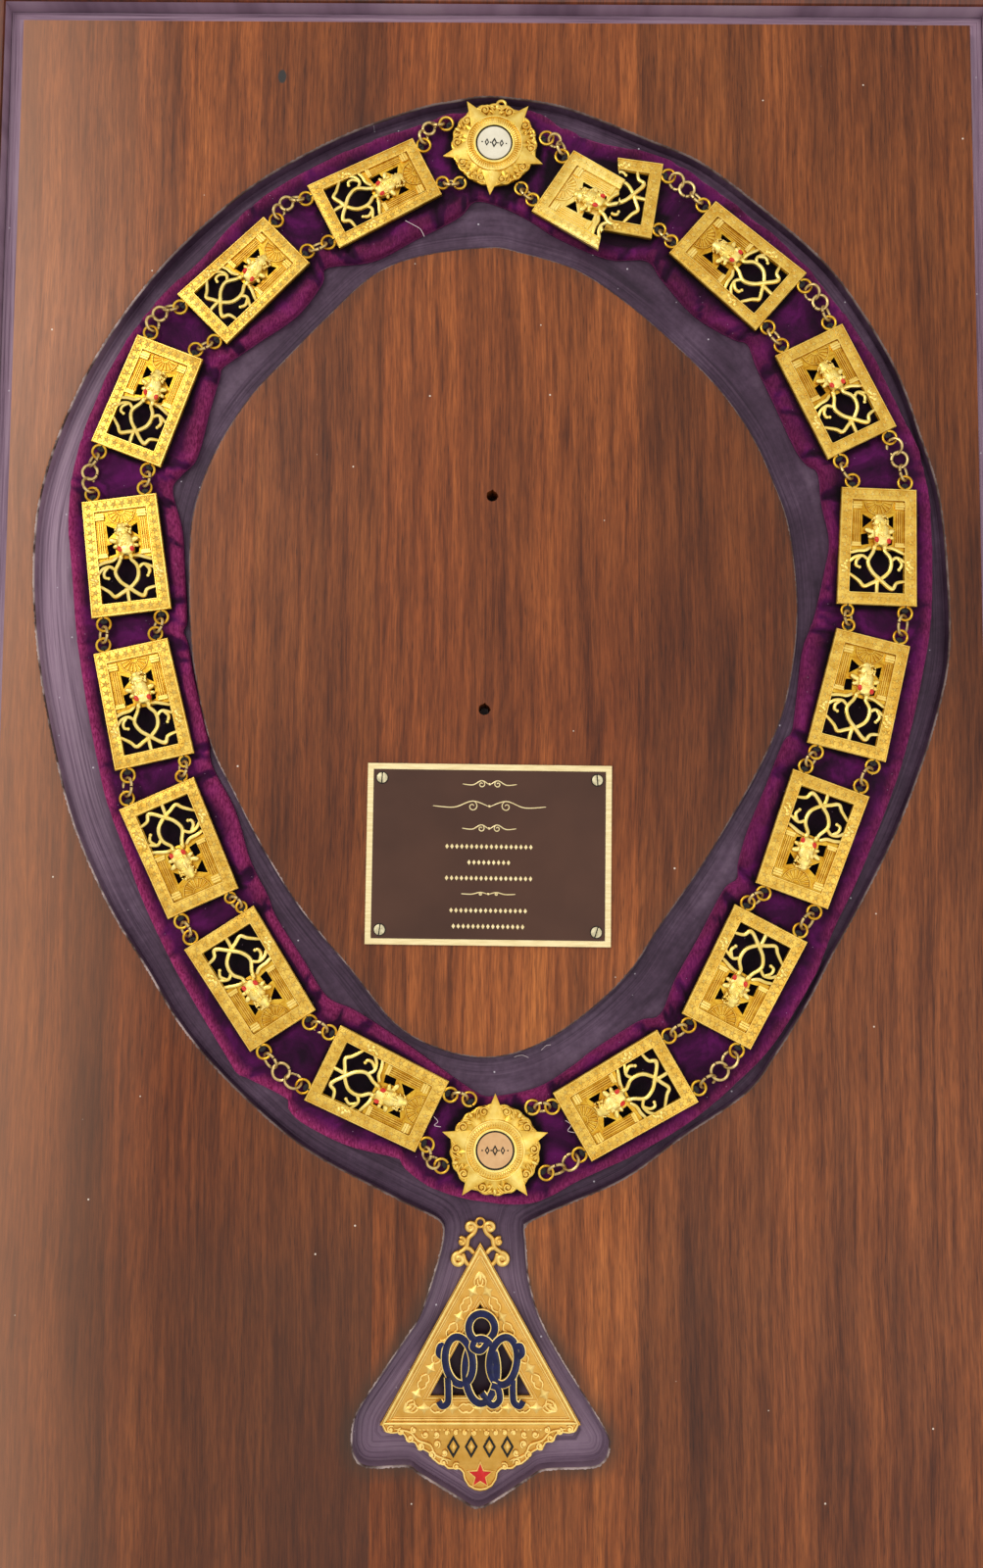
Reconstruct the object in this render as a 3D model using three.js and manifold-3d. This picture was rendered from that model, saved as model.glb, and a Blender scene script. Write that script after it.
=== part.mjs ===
// Chain of office laid in its fitted display board: sixteen pierced oblong plates, two star
// medallions and a triangular jewel on a padded velvet collar, joined by soldered eyelets and
// jump rings.  Millimetres, +Z up, +Y toward the top medallion, origin under the board's centre.
import * as THREE from 'three';
import { mergeVertices } from 'three/addons/utils/BufferGeometryUtils.js';
import Module from 'manifold-3d';

const wasm = await Module();
wasm.setup();

// ---- heights above the board's underside ----
const BOARD_TOP = 19;
const RECESS_FLOOR = 14;
const JOIN_LEVEL = 9;
const FRAME_TOP = 21.5;
const VELVET_BASE = 14.3;
const VELVET_TOP = 17.4;
const GAP_FLOOR = 15.1;
const VELVET_BEVEL = 0.7;
const PLATE_BASE = 18.1;
// How far a raised detail reaches into what it is soldered on.
const JOINED = 0.5;
const EYELET_LEVEL = 18.95;
const RING_LEVEL = 18.95;

// ---- board and frame ----
const FIELD_WIDTH = 403;
const FIELD_LENGTH = 645;
const REBATE_WIDTH = 7;
const FRAME_RAIL = 12;
const FRAME_GAP = 0.4;
const SCREW_HOLES = [[-0.8, 117.2], [-3.5, 28.1]];
const SCREW_HOLE_RADIUS = 2.4;
const SCREW_HOLE_FLOOR = 6;

// ---- name plate ----
const NAME_PLATE_SIZE = [99.5, 73.5];
const NAME_PLATE_CENTRE = [-1.2, -31.3];
const NAME_PLATE_TURN = -0.4;
const NAME_PLATE_THICKNESS = 1.2;
const NAME_PLATE_GAP = 0.3;
const NAME_SCREW_INSET = 6;
const NAME_SCREW_RADIUS = 2;
const NAME_SCREW_HEIGHT = 0.7;

// ---- plates: head-end width, antler-end width, centre and direction of the head end ----
const PLATE_LENGTH = 49;
const PLATE_THICKNESS = 1.4;
const RIM_HEIGHT = 0.9;
const RIM_WIDTH = 4.6;
const HEAD_RELIEF_HEIGHT = 1.2;
const NOMINAL_WIDTH = 32;
const PLATES = {
  plate_left_1: { x: -50.8, y: 247.4, turn: 27.2, head: 27.5, tail: 30.5, outer: 1 },
  plate_left_2: { x: -105.2, y: 208.9, turn: 44.7, head: 28, tail: 30, outer: 1 },
  plate_left_3: { x: -144.3, y: 156.7, turn: 69.2, head: 29.5, tail: 31, outer: 1 },
  plate_left_4: { x: -152.1, y: 91.1, turn: 97.6, head: 31, tail: 33, outer: 1 },
  plate_left_5: { x: -143.4, y: 29.5, turn: 103.1, head: 31, tail: 33, outer: 1 },
  plate_left_6: { x: -126.8, y: -29.5, turn: -65.8, head: 31, tail: 33, outer: -1 },
  plate_left_7: { x: -96.9, y: -82, turn: -57.1, head: 31, tail: 33, outer: -1 },
  plate_left_8: { x: -45.4, y: -125.6, turn: -25.5, head: 31, tail: 33, outer: -1 },
  plate_right_8: { x: 54, y: -127.7, turn: -149.9, head: 31, tail: 33, outer: 1 },
  plate_right_7: { x: 101.9, y: -80, turn: -117.4, head: 31, tail: 33, outer: 1 },
  plate_right_6: { x: 129.9, y: -24.2, turn: -109.9, head: 31, tail: 33, outer: 1 },
  plate_right_5: { x: 150.4, y: 35.1, turn: 76.1, head: 31, tail: 33, outer: -1 },
  plate_right_4: { x: 158.7, y: 96.7, turn: 88, head: 31, tail: 33, outer: -1 },
  plate_right_3: { x: 142, y: 162.4, turn: 116.4, head: 31.5, tail: 32, outer: -1 },
  plate_right_2: { x: 101.3, y: 216.7, turn: 139, head: 30, tail: 33, outer: -1 },
};
// The snapped plate: its head half lies over its antler half.
const HEAD_HALF = { x: 44.5, y: 239, turn: 146.5, tilt: 5.5, head: 32, tail: 32, outer: -1 };
const TAIL_HALF = { x: 43.9, y: 247.7, turn: 171, head: 31, tail: 33, outer: -1 };
const HEAD_HALF_BREAK = [[24.5, 16], [-9, 16.4], [-6, 9], [-8.5, 4], [-4, 0], [-5.5, -6], [-2, -10],
  [-1.5, -15.8], [24.5, -16]];
const TAIL_HALF_BREAK = [[-24.5, 16.5], [-4, 16.4], [-6, 9], [-8.5, 4], [-6.5, 0], [-7.5, -6],
  [-6.2, -10], [-5, -16.2], [-24.5, -16.5]];

// Openings of a plate, head end toward +x; y is scaled with the plate's width.
const PLATE_OPENINGS = [
  [[13.8, 6.8], [11.3, 2.1], [7.5, 6.6]],
  [[11.3, -2], [13.5, -6.5], [7.7, -6.5]],
  [[5.2, 7.2], [5.8, 4.1], [1, 3.5], [0.3, 7]],
  [[5.2, -4.5], [5.8, -6.2], [1, -6], [0.3, -3.8]],
  [[-1.8, 9.8], [-1.9, 3.5], [-3.6, 6.7], [-5, 11]],
  [[-1.3, -2], [-2.5, -7.5], [-4.3, -9.9], [-3.8, -4.2]],
  [[-3.1, -0.3], [-5.2, 2.9], [-9.6, 3], [-11.8, -0.3], [-9.6, -3.6], [-5.2, -3.5]],
  [[-8.7, 10.9], [-6.2, 8.5], [-5.7, 5], [-9.9, 4.7], [-13.6, 2.6], [-14, 9.5]],
  [[-6.2, -5.4], [-6.2, -9.4], [-11.7, -10.2], [-14.6, -8.1], [-13.9, -3.4], [-11.8, -4.4]],
  [[-15.6, 11.3], [-16.4, 2.3], [-18.6, 1.7], [-18.9, 11.3]],
  [[-15.8, -1.4], [-16.6, -10.2], [-19.1, -10.2], [-19.1, -1.1]],
];
const HEAD_RELIEF = [[12.5, 0.6], [8.5, 2.2], [4, 2.8], [0.8, 2.4], [0.8, -3], [4, -3.6],
  [8.5, -1.9], [12.5, -1]];

// ---- hollows pressed in the velvet across the gaps of the chain ----
const DIP_LENGTH = 38;
const NARROWEST_DIP = 12;

// ---- eyelets and jump rings ----
const EYELET_RADIUS = 2.8;
const EYELET_REACH = 0.1;
const EYELET_GAP = 0.5;
const EYELET_SIDE = 4.6;
const EYELET_SECTION = 3;
const RING_SECTION = 4;
const WIRE = 0.5;
const FACETED_WIRE = 1.1;
const RING_SIDES = 8;
const RING_RADIUS = 3.1;
const RING_PLAY = 0.25;
const RING_STEP = 0.05;
const CLEARANCE = 0.8;
const RING_TILT = 48;
const SMALLEST_RING = 2.6;
const RUN_BEND = -1;
const RUN_SLACK = 1.12;

// Each gap of the chain: the two bodies it joins, which end of each faces the gap, and how many
// rings the outer run has.  Every inner run has one.
const GAPS = [
  ['medallion_top', 'left', 'plate_left_1', 'head', 3],
  ['plate_left_1', 'tail', 'plate_left_2', 'head', 3],
  ['plate_left_2', 'tail', 'plate_left_3', 'head', 3],
  ['plate_left_3', 'tail', 'plate_left_4', 'head', 3],
  ['plate_left_4', 'tail', 'plate_left_5', 'head', 1],
  ['plate_left_5', 'tail', 'plate_left_6', 'tail', 1],
  ['plate_left_6', 'head', 'plate_left_7', 'tail', 1],
  ['plate_left_7', 'head', 'plate_left_8', 'tail', 3],
  ['plate_left_8', 'head', 'medallion_bottom', 'left', 2],
  ['medallion_bottom', 'right', 'plate_right_8', 'head', 2],
  ['plate_right_8', 'tail', 'plate_right_7', 'head', 3],
  ['plate_right_7', 'tail', 'plate_right_6', 'head', 1],
  ['plate_right_6', 'tail', 'plate_right_5', 'tail', 1],
  ['plate_right_5', 'head', 'plate_right_4', 'tail', 1],
  ['plate_right_4', 'head', 'plate_right_3', 'tail', 3],
  ['plate_right_3', 'head', 'plate_right_2', 'tail', 3],
  ['plate_right_2', 'head', 'plate_right_1_antler_half', 'tail', 3],
  ['plate_right_1_head_half', 'head', 'medallion_top', 'right', 2],
];

// ---- medallions: centre, turn of the upper ray, loop in the disc's own frame, eyelet places ----
const MEDALLIONS = {
  medallion_top: {
    x: -0.8, y: 268.3, turn: 175.6, loop: [-1.6, -17.6],
    eyelets: { left: { outer: [-19.9, 9.1], inner: [-14.2, -16.4] },
      right: { outer: [20.6, 3], inner: [11, -18] } },
  },
  medallion_bottom: {
    x: 2, y: -149, turn: 0,
    eyelets: { left: { inner: [-10.2, 19.3], outer: [-21.2, -6.5] },
      right: { inner: [14.6, 16.4], outer: [20.1, -8.9] } },
  },
};
const DISC_RADIUS = 19.5;
const STAR_TIP = 22.2;
const STAR_WAIST = 12.5;
const SMALL_STAR_TIP = 16.5;
const COLLAR_RADIUS = 12.4;
const LOOP_RADIUS = 2.3;
const LOOP_HOLE = 1.1;
const CENTRE_RADIUS = 7.3;
const GROOVE_RADIUS = 8.3;
const DISC_THICKNESS = 1.4;
const RAY_TOP = 2.3;
const SMALL_RAY_TOP = 1.9;
const COLLAR_TOP = 3;

// ---- jewel: origin at the middle of the triangle's base, +y toward the crest ----
const JEWEL = { x: -3.2, y: -257.2, turn: 0.4 };
const JEWEL_TRIANGLE = [[-39.6, 0], [39.6, 0], [0, 70.3]];
const JEWEL_WINDOW = [[-20.3, 11], [20.3, 11], [0, 47.3]];
const JEWEL_THICKNESS = 1.8;
const JEWEL_INSET = [[-35, 2.6], [35, 2.6], [0, 64.8]];
const JEWEL_RIM_HEIGHT = 0.7;
const CREST_RING = { y: 78.4, radius: 2.3, hole: 1.1 };
const CREST_THICKNESS = 1.4;
const CREST_STEM_WIDTH = 1.6;
const APRON = [[-39.4, 0.6], [-37.9, -2.5], [-35.6, -3], [-30.4, -3.4], [-28.1, -6.2],
  [-24.9, -9], [-20.2, -11.4], [-16.5, -15.1], [-12.8, -16.9], [-9, -17.4], [-6.7, -18.3],
  [-5.3, -22.1], [-3.4, -24.4], [0, -25.3]];
const CREST_LOBES = [[3.9, 76.8, 2.3], [7.2, 71.2, 1.9], [8.8, 64.1, 3]];
const CREST_STEMS = [[1.6, 78, 5.2, 71.5], [5.2, 71.5, 8.2, 66], [9, 62, 5, 60.2],
  [6, 66, 2.6, 66.5]];
const KNOT_LOOPS = [[0, 37.4, 6], [-9.3, 26.5, 6.6], [9.3, 26.5, 6.6], [0, 15.6, 7.4]];
const KNOT_TAILS = [[-9.5, 20.5, -10.5, 10], [-10.5, 10, -15, 8.6], [9.5, 20.5, 11, 10],
  [11, 10, 15.5, 8.6]];
const KNOT_WIDTH = 2;
const KNOT_BASE = 0.8;
const KNOT_TOP = 2.6;
const JEWEL_STAR = { y: -19.3, tip: 4.8, waist: 2, top: 2.4 };

// ---- outlines, in order round the board ----
const RECESS_EDGE = [
  [-2, 289.5], [-17, 287.5], [-33, 284], [-65.5, 271.5], [-98, 253], [-121, 234], [-141, 213], [-159, 188],
  [-173, 162], [-183.5, 134], [-189, 108], [-189.5, 77.5], [-186, 45], [-179, 11.5], [-170, -20],
  [-155, -52.5], [-138.5, -78.5], [-123.5, -102], [-102, -125.5], [-73.5, -149], [-38.5, -167.5],
  [-29, -172], [-19.5, -177], [-18, -183.5], [-21.5, -198], [-27, -214], [-32, -222],
  [-42.5, -237.5], [-52, -252.5], [-53.5, -263.5], [-52.5, -268], [-50, -271], [-45, -272],
  [-31.5, -271.5], [-27.5, -274], [-13, -282.5], [-6.5, -286.5], [-3, -287], [1.5, -285],
  [16.5, -275.5], [22.5, -272.5], [41, -271.5], [46, -268.5], [47.5, -263.5], [46.5, -259],
  [38.5, -246], [29, -231.5], [20.5, -216.5], [15.5, -201], [14, -186], [13.5, -180], [15, -177.5],
  [27.5, -171.5], [53.5, -160], [76, -144], [102.5, -126], [114.5, -110.5], [127.5, -90],
  [137.5, -71], [151, -47], [163.5, -22.5], [173.5, 2], [181.5, 26], [187, 50.5], [187.5, 80.5],
  [184.5, 117.5], [177, 144], [167.5, 171.5], [152, 199], [136.5, 219.5], [112.5, 241],
  [86.5, 261], [64, 271], [40, 281], [22.5, 286.5],
];

const ISLAND_EDGE = [
  [-2.5, 224], [-30, 220.5], [-51, 212], [-70.5, 193.5], [-86.5, 176.5], [-102.5, 158.5],
  [-115.5, 137], [-123.5, 115.5], [-126, 96], [-125, 61], [-121.5, 36.5], [-115, 12], [-106, -6],
  [-93, -30], [-77, -54.5], [-57, -78], [-39, -99.5], [-21, -109.5], [-1, -113], [18.5, -108],
  [38, -95.5], [56, -78.5], [68, -60.5], [83.5, -38.5], [97, -17], [109.5, 5], [119, 27],
  [124, 50.5], [125.5, 75], [122.5, 104.5], [116, 124.5], [107, 144.5], [93.5, 164], [75, 183],
  [55, 200.5], [34, 214.5], [10, 222],
];

const VELVET_OUTER = [
  [-13, 285], [-34.5, 278.5], [-59.5, 269], [-84.5, 256.5], [-104.5, 242], [-124, 220],
  [-142.5, 201], [-157, 181], [-168, 156.5], [-175.5, 131], [-177.5, 107.5], [-175.5, 86.5],
  [-173, 61], [-169.5, 39], [-164, 12], [-158.5, -10], [-150, -32], [-141, -54.5], [-129, -78],
  [-117.5, -97], [-106.5, -114.5], [-102.5, -120.5], [-98, -122.5], [-82, -130.5], [-81.5, -134.5],
  [-75, -140.5], [-57, -149], [-36.5, -154], [-34.5, -157.5], [-23, -165.5], [-4, -170.5],
  [17.5, -171], [36, -162], [59.5, -151], [81.5, -138], [100, -122.5], [115, -107], [131, -81],
  [139.5, -61.5], [149.5, -41], [161, -14], [170, 11.5], [176.5, 38.5], [181.5, 66], [182.5, 103],
  [179.5, 131.5], [171, 153.5], [160.5, 176], [150.5, 192.5], [142, 204], [133, 216], [120, 229],
  [109.5, 238], [100, 246], [80, 260.5], [65.5, 267], [43, 272], [28, 278], [27, 278.5],
  [13.5, 286],
];

const VELVET_INNER = [
  [1.5, 244], [-9, 246], [-15.5, 239], [-34, 229], [-51.5, 219.5], [-71.5, 216.5], [-73, 210],
  [-83.5, 195.5], [-99.5, 184], [-114.5, 173], [-115.5, 169.5], [-119.5, 154.5], [-124.5, 134],
  [-131, 126.5], [-134.5, 120], [-130, 103.5], [-128.5, 86.5], [-127, 65.5], [-128.5, 60.5],
  [-126.5, 55.5], [-122.5, 37], [-117, 17], [-115.5, 5], [-105.5, -13.5], [-99, -34],
  [-91.5, -48.5], [-88, -57], [-76.5, -74.5], [-67, -89], [-56.5, -94], [-50.5, -97.5],
  [-35.5, -107], [-19, -118.5], [-7, -126.5], [0.5, -129], [19.5, -125], [34, -116], [41, -110.5],
  [60, -98.5], [67, -97], [70.5, -93], [75, -81.5], [84, -65.5], [95, -45], [100.5, -40.5],
  [101, -34], [105, -20.5], [112.5, -2.5], [120, 16], [123.5, 20], [125.5, 33.5], [128, 53],
  [131.5, 63], [134, 70.5], [138, 88], [140, 100.5], [137, 115.5], [135.5, 129], [131, 132.5],
  [126, 139.5], [117.5, 158.5], [110, 175], [106.5, 184.5], [100.5, 186.5], [84, 196.5],
  [70.5, 212], [64, 220.5], [48, 221], [26.5, 230], [14, 238],
];

// ---------------------------------------------------------------- helpers
const rad = THREE.MathUtils.degToRad;

function solid(geometry) {
  const bare = geometry.clone();
  bare.deleteAttribute('normal');
  bare.deleteAttribute('uv');
  const merged = mergeVertices(bare, 1e-4);
  const vertProperties = new Float32Array(merged.attributes.position.array);
  const triVerts = new Uint32Array(merged.index.array);
  return new wasm.Manifold(new wasm.Mesh({ numProp: 3, vertProperties, triVerts }));
}

function geometryOf(manifold) {
  const mesh = manifold.getMesh();
  const geometry = new THREE.BufferGeometry();
  geometry.setAttribute('position', new THREE.BufferAttribute(mesh.vertProperties, 3));
  geometry.setIndex(new THREE.BufferAttribute(mesh.triVerts, 1));
  const flat = geometry.toNonIndexed();
  flat.computeVertexNormals();
  return flat;
}

function shapeOf(points, holes = []) {
  const shape = new THREE.Shape(points.map(([x, y]) => new THREE.Vector2(x, y)));
  for (const hole of holes) {
    shape.holes.push(new THREE.Path(hole.map(([x, y]) => new THREE.Vector2(x, y))));
  }
  return shape;
}

function prism(points, z0, z1, holes = []) {
  const options = { depth: z1 - z0, bevelEnabled: false, curveSegments: 1 };
  const geometry = new THREE.ExtrudeGeometry(shapeOf(points, holes), options);
  return solid(geometry.translate(0, 0, z0));
}

function rectangle(width, height) {
  const a = width / 2;
  const b = height / 2;
  return [[-a, -b], [a, -b], [a, b], [-a, b]];
}

function circle(cx, cy, radius, sides, start = 0) {
  const points = [];
  for (let i = 0; i < sides; i += 1) {
    const a = start + (i / sides) * Math.PI * 2;
    points.push([cx + radius * Math.cos(a), cy + radius * Math.sin(a)]);
  }
  return points;
}

// Outline of a five-pointed star.
function star(cx, cy, tip, waist, start) {
  const points = [];
  for (let i = 0; i < 10; i += 1) {
    const r = i % 2 === 0 ? tip : waist;
    const a = start + (i / 10) * Math.PI * 2;
    points.push([cx + r * Math.cos(a), cy + r * Math.sin(a)]);
  }
  return points;
}

function bar(x0, y0, x1, y1, width, z0, z1) {
  const length = Math.hypot(x1 - x0, y1 - y0);
  const nx = (-(y1 - y0) / length) * width / 2;
  const ny = ((x1 - x0) / length) * width / 2;
  const corners = [[x0 + nx, y0 + ny], [x0 - nx, y0 - ny], [x1 - nx, y1 - ny], [x1 + nx, y1 + ny]];
  return prism(corners, z0, z1);
}

function moved(manifold, matrix) {
  const copy = geometryOf(manifold);
  copy.applyMatrix4(matrix);
  return solid(copy);
}

function placed(manifold, x, y, z, turn) {
  const matrix = new THREE.Matrix4().makeRotationZ(rad(turn));
  matrix.setPosition(x, y, z);
  return moved(manifold, matrix);
}

function union(parts) {
  return parts.reduce((sum, part) => sum.add(part));
}

// A faceted wire ring lying flat at the origin.
function wireRing(radius, section) {
  return new THREE.TorusGeometry(radius, WIRE * FACETED_WIRE, section, RING_SIDES);
}

// ---------------------------------------------------------------- eyelets
// Where the eyelets of a chain body stand, in the board's frame.
function plateAnchor(pose, end, side) {
  const along = end === 'head' ? 1 : -1;
  const width = end === 'head' ? pose.head : pose.tail;
  const across = (side === 'outer' ? 1 : -1) * pose.outer * (width / 2 - EYELET_SIDE);
  const a = rad(pose.turn);
  const edge = along * (PLATE_LENGTH / 2);
  return {
    x: pose.x + edge * Math.cos(a) - across * Math.sin(a),
    y: pose.y + edge * Math.sin(a) + across * Math.cos(a),
    dx: along * Math.cos(a),
    dy: along * Math.sin(a),
  };
}

function medallionAnchor(pose, end, side) {
  const [ex, ey] = pose.eyelets[end][side];
  const length = Math.hypot(ex, ey);
  const k = DISC_RADIUS / length;
  return { x: pose.x + ex * k, y: pose.y + ey * k, dx: ex / length, dy: ey / length };
}

function anchorOf(name, end, side) {
  if (MEDALLIONS[name]) {
    return medallionAnchor(MEDALLIONS[name], end, side);
  }
  if (name === 'plate_right_1_head_half') {
    return plateAnchor(HEAD_HALF, end, side);
  }
  if (name === 'plate_right_1_antler_half') {
    return plateAnchor(TAIL_HALF, end, side);
  }
  return plateAnchor(PLATES[name], end, side);
}

function eyeletCentre(anchor, radius) {
  const reach = radius + EYELET_REACH;
  return new THREE.Vector3(anchor.x + anchor.dx * reach, anchor.y + anchor.dy * reach, EYELET_LEVEL);
}

// Eyelet radius for a gap: smaller where two plates come close together.
function eyeletRadius(a, b) {
  const gap = Math.hypot(b.x - a.x, b.y - a.y);
  return Math.min(EYELET_RADIUS, (gap - 2 * WIRE - 2 * EYELET_REACH - EYELET_GAP) / 4);
}

function eyelet(anchor, radius) {
  const centre = eyeletCentre(anchor, radius);
  const matrix = new THREE.Matrix4().makeRotationZ(Math.atan2(anchor.dy, anchor.dx));
  matrix.setPosition(centre.x, centre.y, centre.z);
  return solid(wireRing(radius, EYELET_SECTION).applyMatrix4(matrix));
}

// ---------------------------------------------------------------- ring runs
// Joint points of a run that bends evenly between two eyelets `chord` apart.
function bentRun(lengths, chord) {
  let low = 0;
  let high = Math.PI / 2;
  const layout = (turn) => {
    const points = [new THREE.Vector2(0, 0)];
    let heading = (turn * (lengths.length - 1)) / 2;
    for (const length of lengths) {
      const last = points[points.length - 1];
      const step = new THREE.Vector2(Math.cos(heading), Math.sin(heading)).multiplyScalar(length);
      points.push(last.clone().add(step));
      heading -= turn;
    }
    return points;
  };
  for (let i = 0; i < 40; i += 1) {
    const middle = (low + high) / 2;
    if (layout(middle)[lengths.length].length() > chord) {
      low = middle;
    } else {
      high = middle;
    }
  }
  return layout((low + high) / 2);
}

// Lengths between the joint points of a run: eyelet, each ring's centre, eyelet.
function runLengths(eyeletSize, ring, count) {
  const hook = eyeletSize + ring - 2 * WIRE - CLEARANCE;
  const pitch = 2 * ring - 2 * WIRE + RING_PLAY;
  return [hook, ...Array(count - 1).fill(pitch), hook];
}

// Ring radius that lets a run span its chord with only a little slack.
function fittedRing(eyeletSize, count, chord) {
  const total = (ring) => runLengths(eyeletSize, ring, count).reduce((sum, l) => sum + l, 0);
  let ring = RING_RADIUS;
  while (total(ring) < chord) {
    ring += RING_STEP;
  }
  while (total(ring) > chord * RUN_SLACK && ring > SMALLEST_RING) {
    ring -= RING_STEP;
  }
  return ring;
}

// Direction in which ring i of a run lies: an end ring lies toward the eyelet that it hooks.
function ringDirection(points, i, count) {
  const centre = points[i + 1];
  if (i === 0) {
    return centre.clone().sub(points[0]);
  }
  if (i === count - 1) {
    return points[i + 2].clone().sub(centre);
  }
  return points[i + 2].clone().sub(points[i]);
}

function ringPoses(a, b, count) {
  const eyeletSize = eyeletRadius(a, b);
  const start = eyeletCentre(a, eyeletSize);
  const end = eyeletCentre(b, eyeletSize);
  const chord = start.distanceTo(end);
  const ring = fittedRing(eyeletSize, count, chord);
  const points = bentRun(runLengths(eyeletSize, ring, count), chord);
  if (count === 1) {
    points[1].set(chord / 2, 0);
  }
  const heading = Math.atan2(end.y - start.y, end.x - start.x);
  return points.slice(1, -1).map((point, i) => {
    const along = ringDirection(points, i, count);
    const flat = count === 3 && i === 1;
    const side = point.y * RUN_BEND;
    return {
      x: start.x + point.x * Math.cos(heading) - side * Math.sin(heading),
      y: start.y + point.x * Math.sin(heading) + side * Math.cos(heading),
      turn: heading + Math.atan2(along.y, along.x) * RUN_BEND,
      tilt: flat ? 0 : rad(i === 0 ? RING_TILT : -RING_TILT),
      radius: ring,
    };
  });
}

function ringSolid(pose) {
  const matrix = new THREE.Matrix4().makeRotationZ(pose.turn);
  matrix.multiply(new THREE.Matrix4().makeRotationX(pose.tilt));
  matrix.setPosition(pose.x, pose.y, RING_LEVEL);
  return solid(wireRing(pose.radius, RING_SECTION).applyMatrix4(matrix));
}

// ---------------------------------------------------------------- chain bodies
function plateOutline(head, tail) {
  const half = PLATE_LENGTH / 2;
  return [[half, head / 2], [-half, tail / 2], [-half, -tail / 2], [half, -head / 2]];
}

function plateSolid(head, tail) {
  const scale = (head + tail) / 2 / NOMINAL_WIDTH;
  const fit = (points) => points.map(([x, y]) => [x, y * scale]);
  const outline = plateOutline(head, tail);
  const half = PLATE_LENGTH / 2 - RIM_WIDTH;
  const inner = [[half, head / 2 - RIM_WIDTH], [half, -head / 2 + RIM_WIDTH],
    [-half - 0.4, -tail / 2 + RIM_WIDTH], [-half - 0.4, tail / 2 - RIM_WIDTH]];
  const base = prism(outline, 0, PLATE_THICKNESS, PLATE_OPENINGS.map((hole) => fit(hole)));
  const rim = prism(outline, PLATE_THICKNESS - JOINED, PLATE_THICKNESS + RIM_HEIGHT, [inner]);
  const top = PLATE_THICKNESS + HEAD_RELIEF_HEIGHT;
  const relief = prism(fit(HEAD_RELIEF), PLATE_THICKNESS - JOINED, top);
  return union([base, rim, relief]);
}

function medallionSolid(loop) {
  const base = prism(circle(0, 0, DISC_RADIUS, 24), 0, DISC_THICKNESS);
  const seat = DISC_THICKNESS - JOINED;
  const rays = prism(star(0, 0, STAR_TIP, STAR_WAIST, Math.PI / 2), seat, RAY_TOP);
  const smallStar = star(0, 0, SMALL_STAR_TIP, STAR_WAIST, -Math.PI / 2);
  const small = prism(smallStar, seat, SMALL_RAY_TOP);
  const groove = circle(0, 0, GROOVE_RADIUS, 16);
  const collar = prism(circle(0, 0, COLLAR_RADIUS, 20), seat, COLLAR_TOP, [groove]);
  const centre = prism(circle(0, 0, CENTRE_RADIUS, 16), seat, COLLAR_TOP);
  const whole = union([base, rays, small, collar, centre]);
  if (!loop) {
    return whole;
  }
  const [x, y] = loop;
  return whole.add(prism(circle(x, y, LOOP_RADIUS, 8), 0, DISC_THICKNESS))
    .subtract(prism(circle(x, y, LOOP_HOLE, 6), -1, COLLAR_TOP + 1));
}

function jewelSolid() {
  const top = JEWEL_THICKNESS;
  const mirrored = APRON.slice(0, -1).reverse().map(([x, y]) => [-x, y]);
  const { y: ringY, radius, hole } = CREST_RING;
  const parts = [
    prism(JEWEL_TRIANGLE, 0, top, [JEWEL_WINDOW]),
    prism(JEWEL_TRIANGLE, top - JOINED, top + JEWEL_RIM_HEIGHT, [JEWEL_INSET]),
    prism([...APRON, ...mirrored], 0, top - JOINED / 2),
    prism(circle(0, ringY, radius, 12), 0, CREST_THICKNESS, [circle(0, ringY, hole, 8)]),
  ];
  for (const side of [-1, 1]) {
    for (const [x, y, r] of CREST_LOBES) {
      parts.push(prism(circle(side * x, y, r, 8), 0, CREST_THICKNESS));
    }
    for (const [x0, y0, x1, y1] of CREST_STEMS) {
      parts.push(bar(side * x0, y0, side * x1, y1, CREST_STEM_WIDTH, 0, CREST_THICKNESS));
    }
  }
  for (const [x, y, r] of KNOT_LOOPS) {
    const inner = circle(x, y, r - KNOT_WIDTH / 2, 8);
    parts.push(prism(circle(x, y, r + KNOT_WIDTH / 2, 8), KNOT_BASE, KNOT_TOP, [inner]));
  }
  for (const [x0, y0, x1, y1] of KNOT_TAILS) {
    parts.push(bar(x0, y0, x1, y1, KNOT_WIDTH, KNOT_BASE, KNOT_TOP));
  }
  const { y: starY, tip, waist, top: starTop } = JEWEL_STAR;
  parts.push(prism(star(0, starY, tip, waist, Math.PI / 2), top - JOINED, starTop));
  return union(parts);
}

// ---------------------------------------------------------------- board, frame, name plate
function boardSolid() {
  const width = FIELD_WIDTH + 2 * REBATE_WIDTH;
  const length = FIELD_LENGTH + 2 * REBATE_WIDTH;
  const slab = prism(rectangle(width, length), 0, RECESS_FLOOR);
  const field = prism(rectangle(FIELD_WIDTH, FIELD_LENGTH), JOIN_LEVEL, BOARD_TOP, [RECESS_EDGE]);
  const island = prism(ISLAND_EDGE, JOIN_LEVEL, BOARD_TOP);
  let board = union([slab, field, island]);
  for (const [x, y] of SCREW_HOLES) {
    const hole = prism(circle(x, y, SCREW_HOLE_RADIUS, 12), SCREW_HOLE_FLOOR, BOARD_TOP + 1);
    board = board.subtract(hole);
  }
  return board;
}

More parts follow.
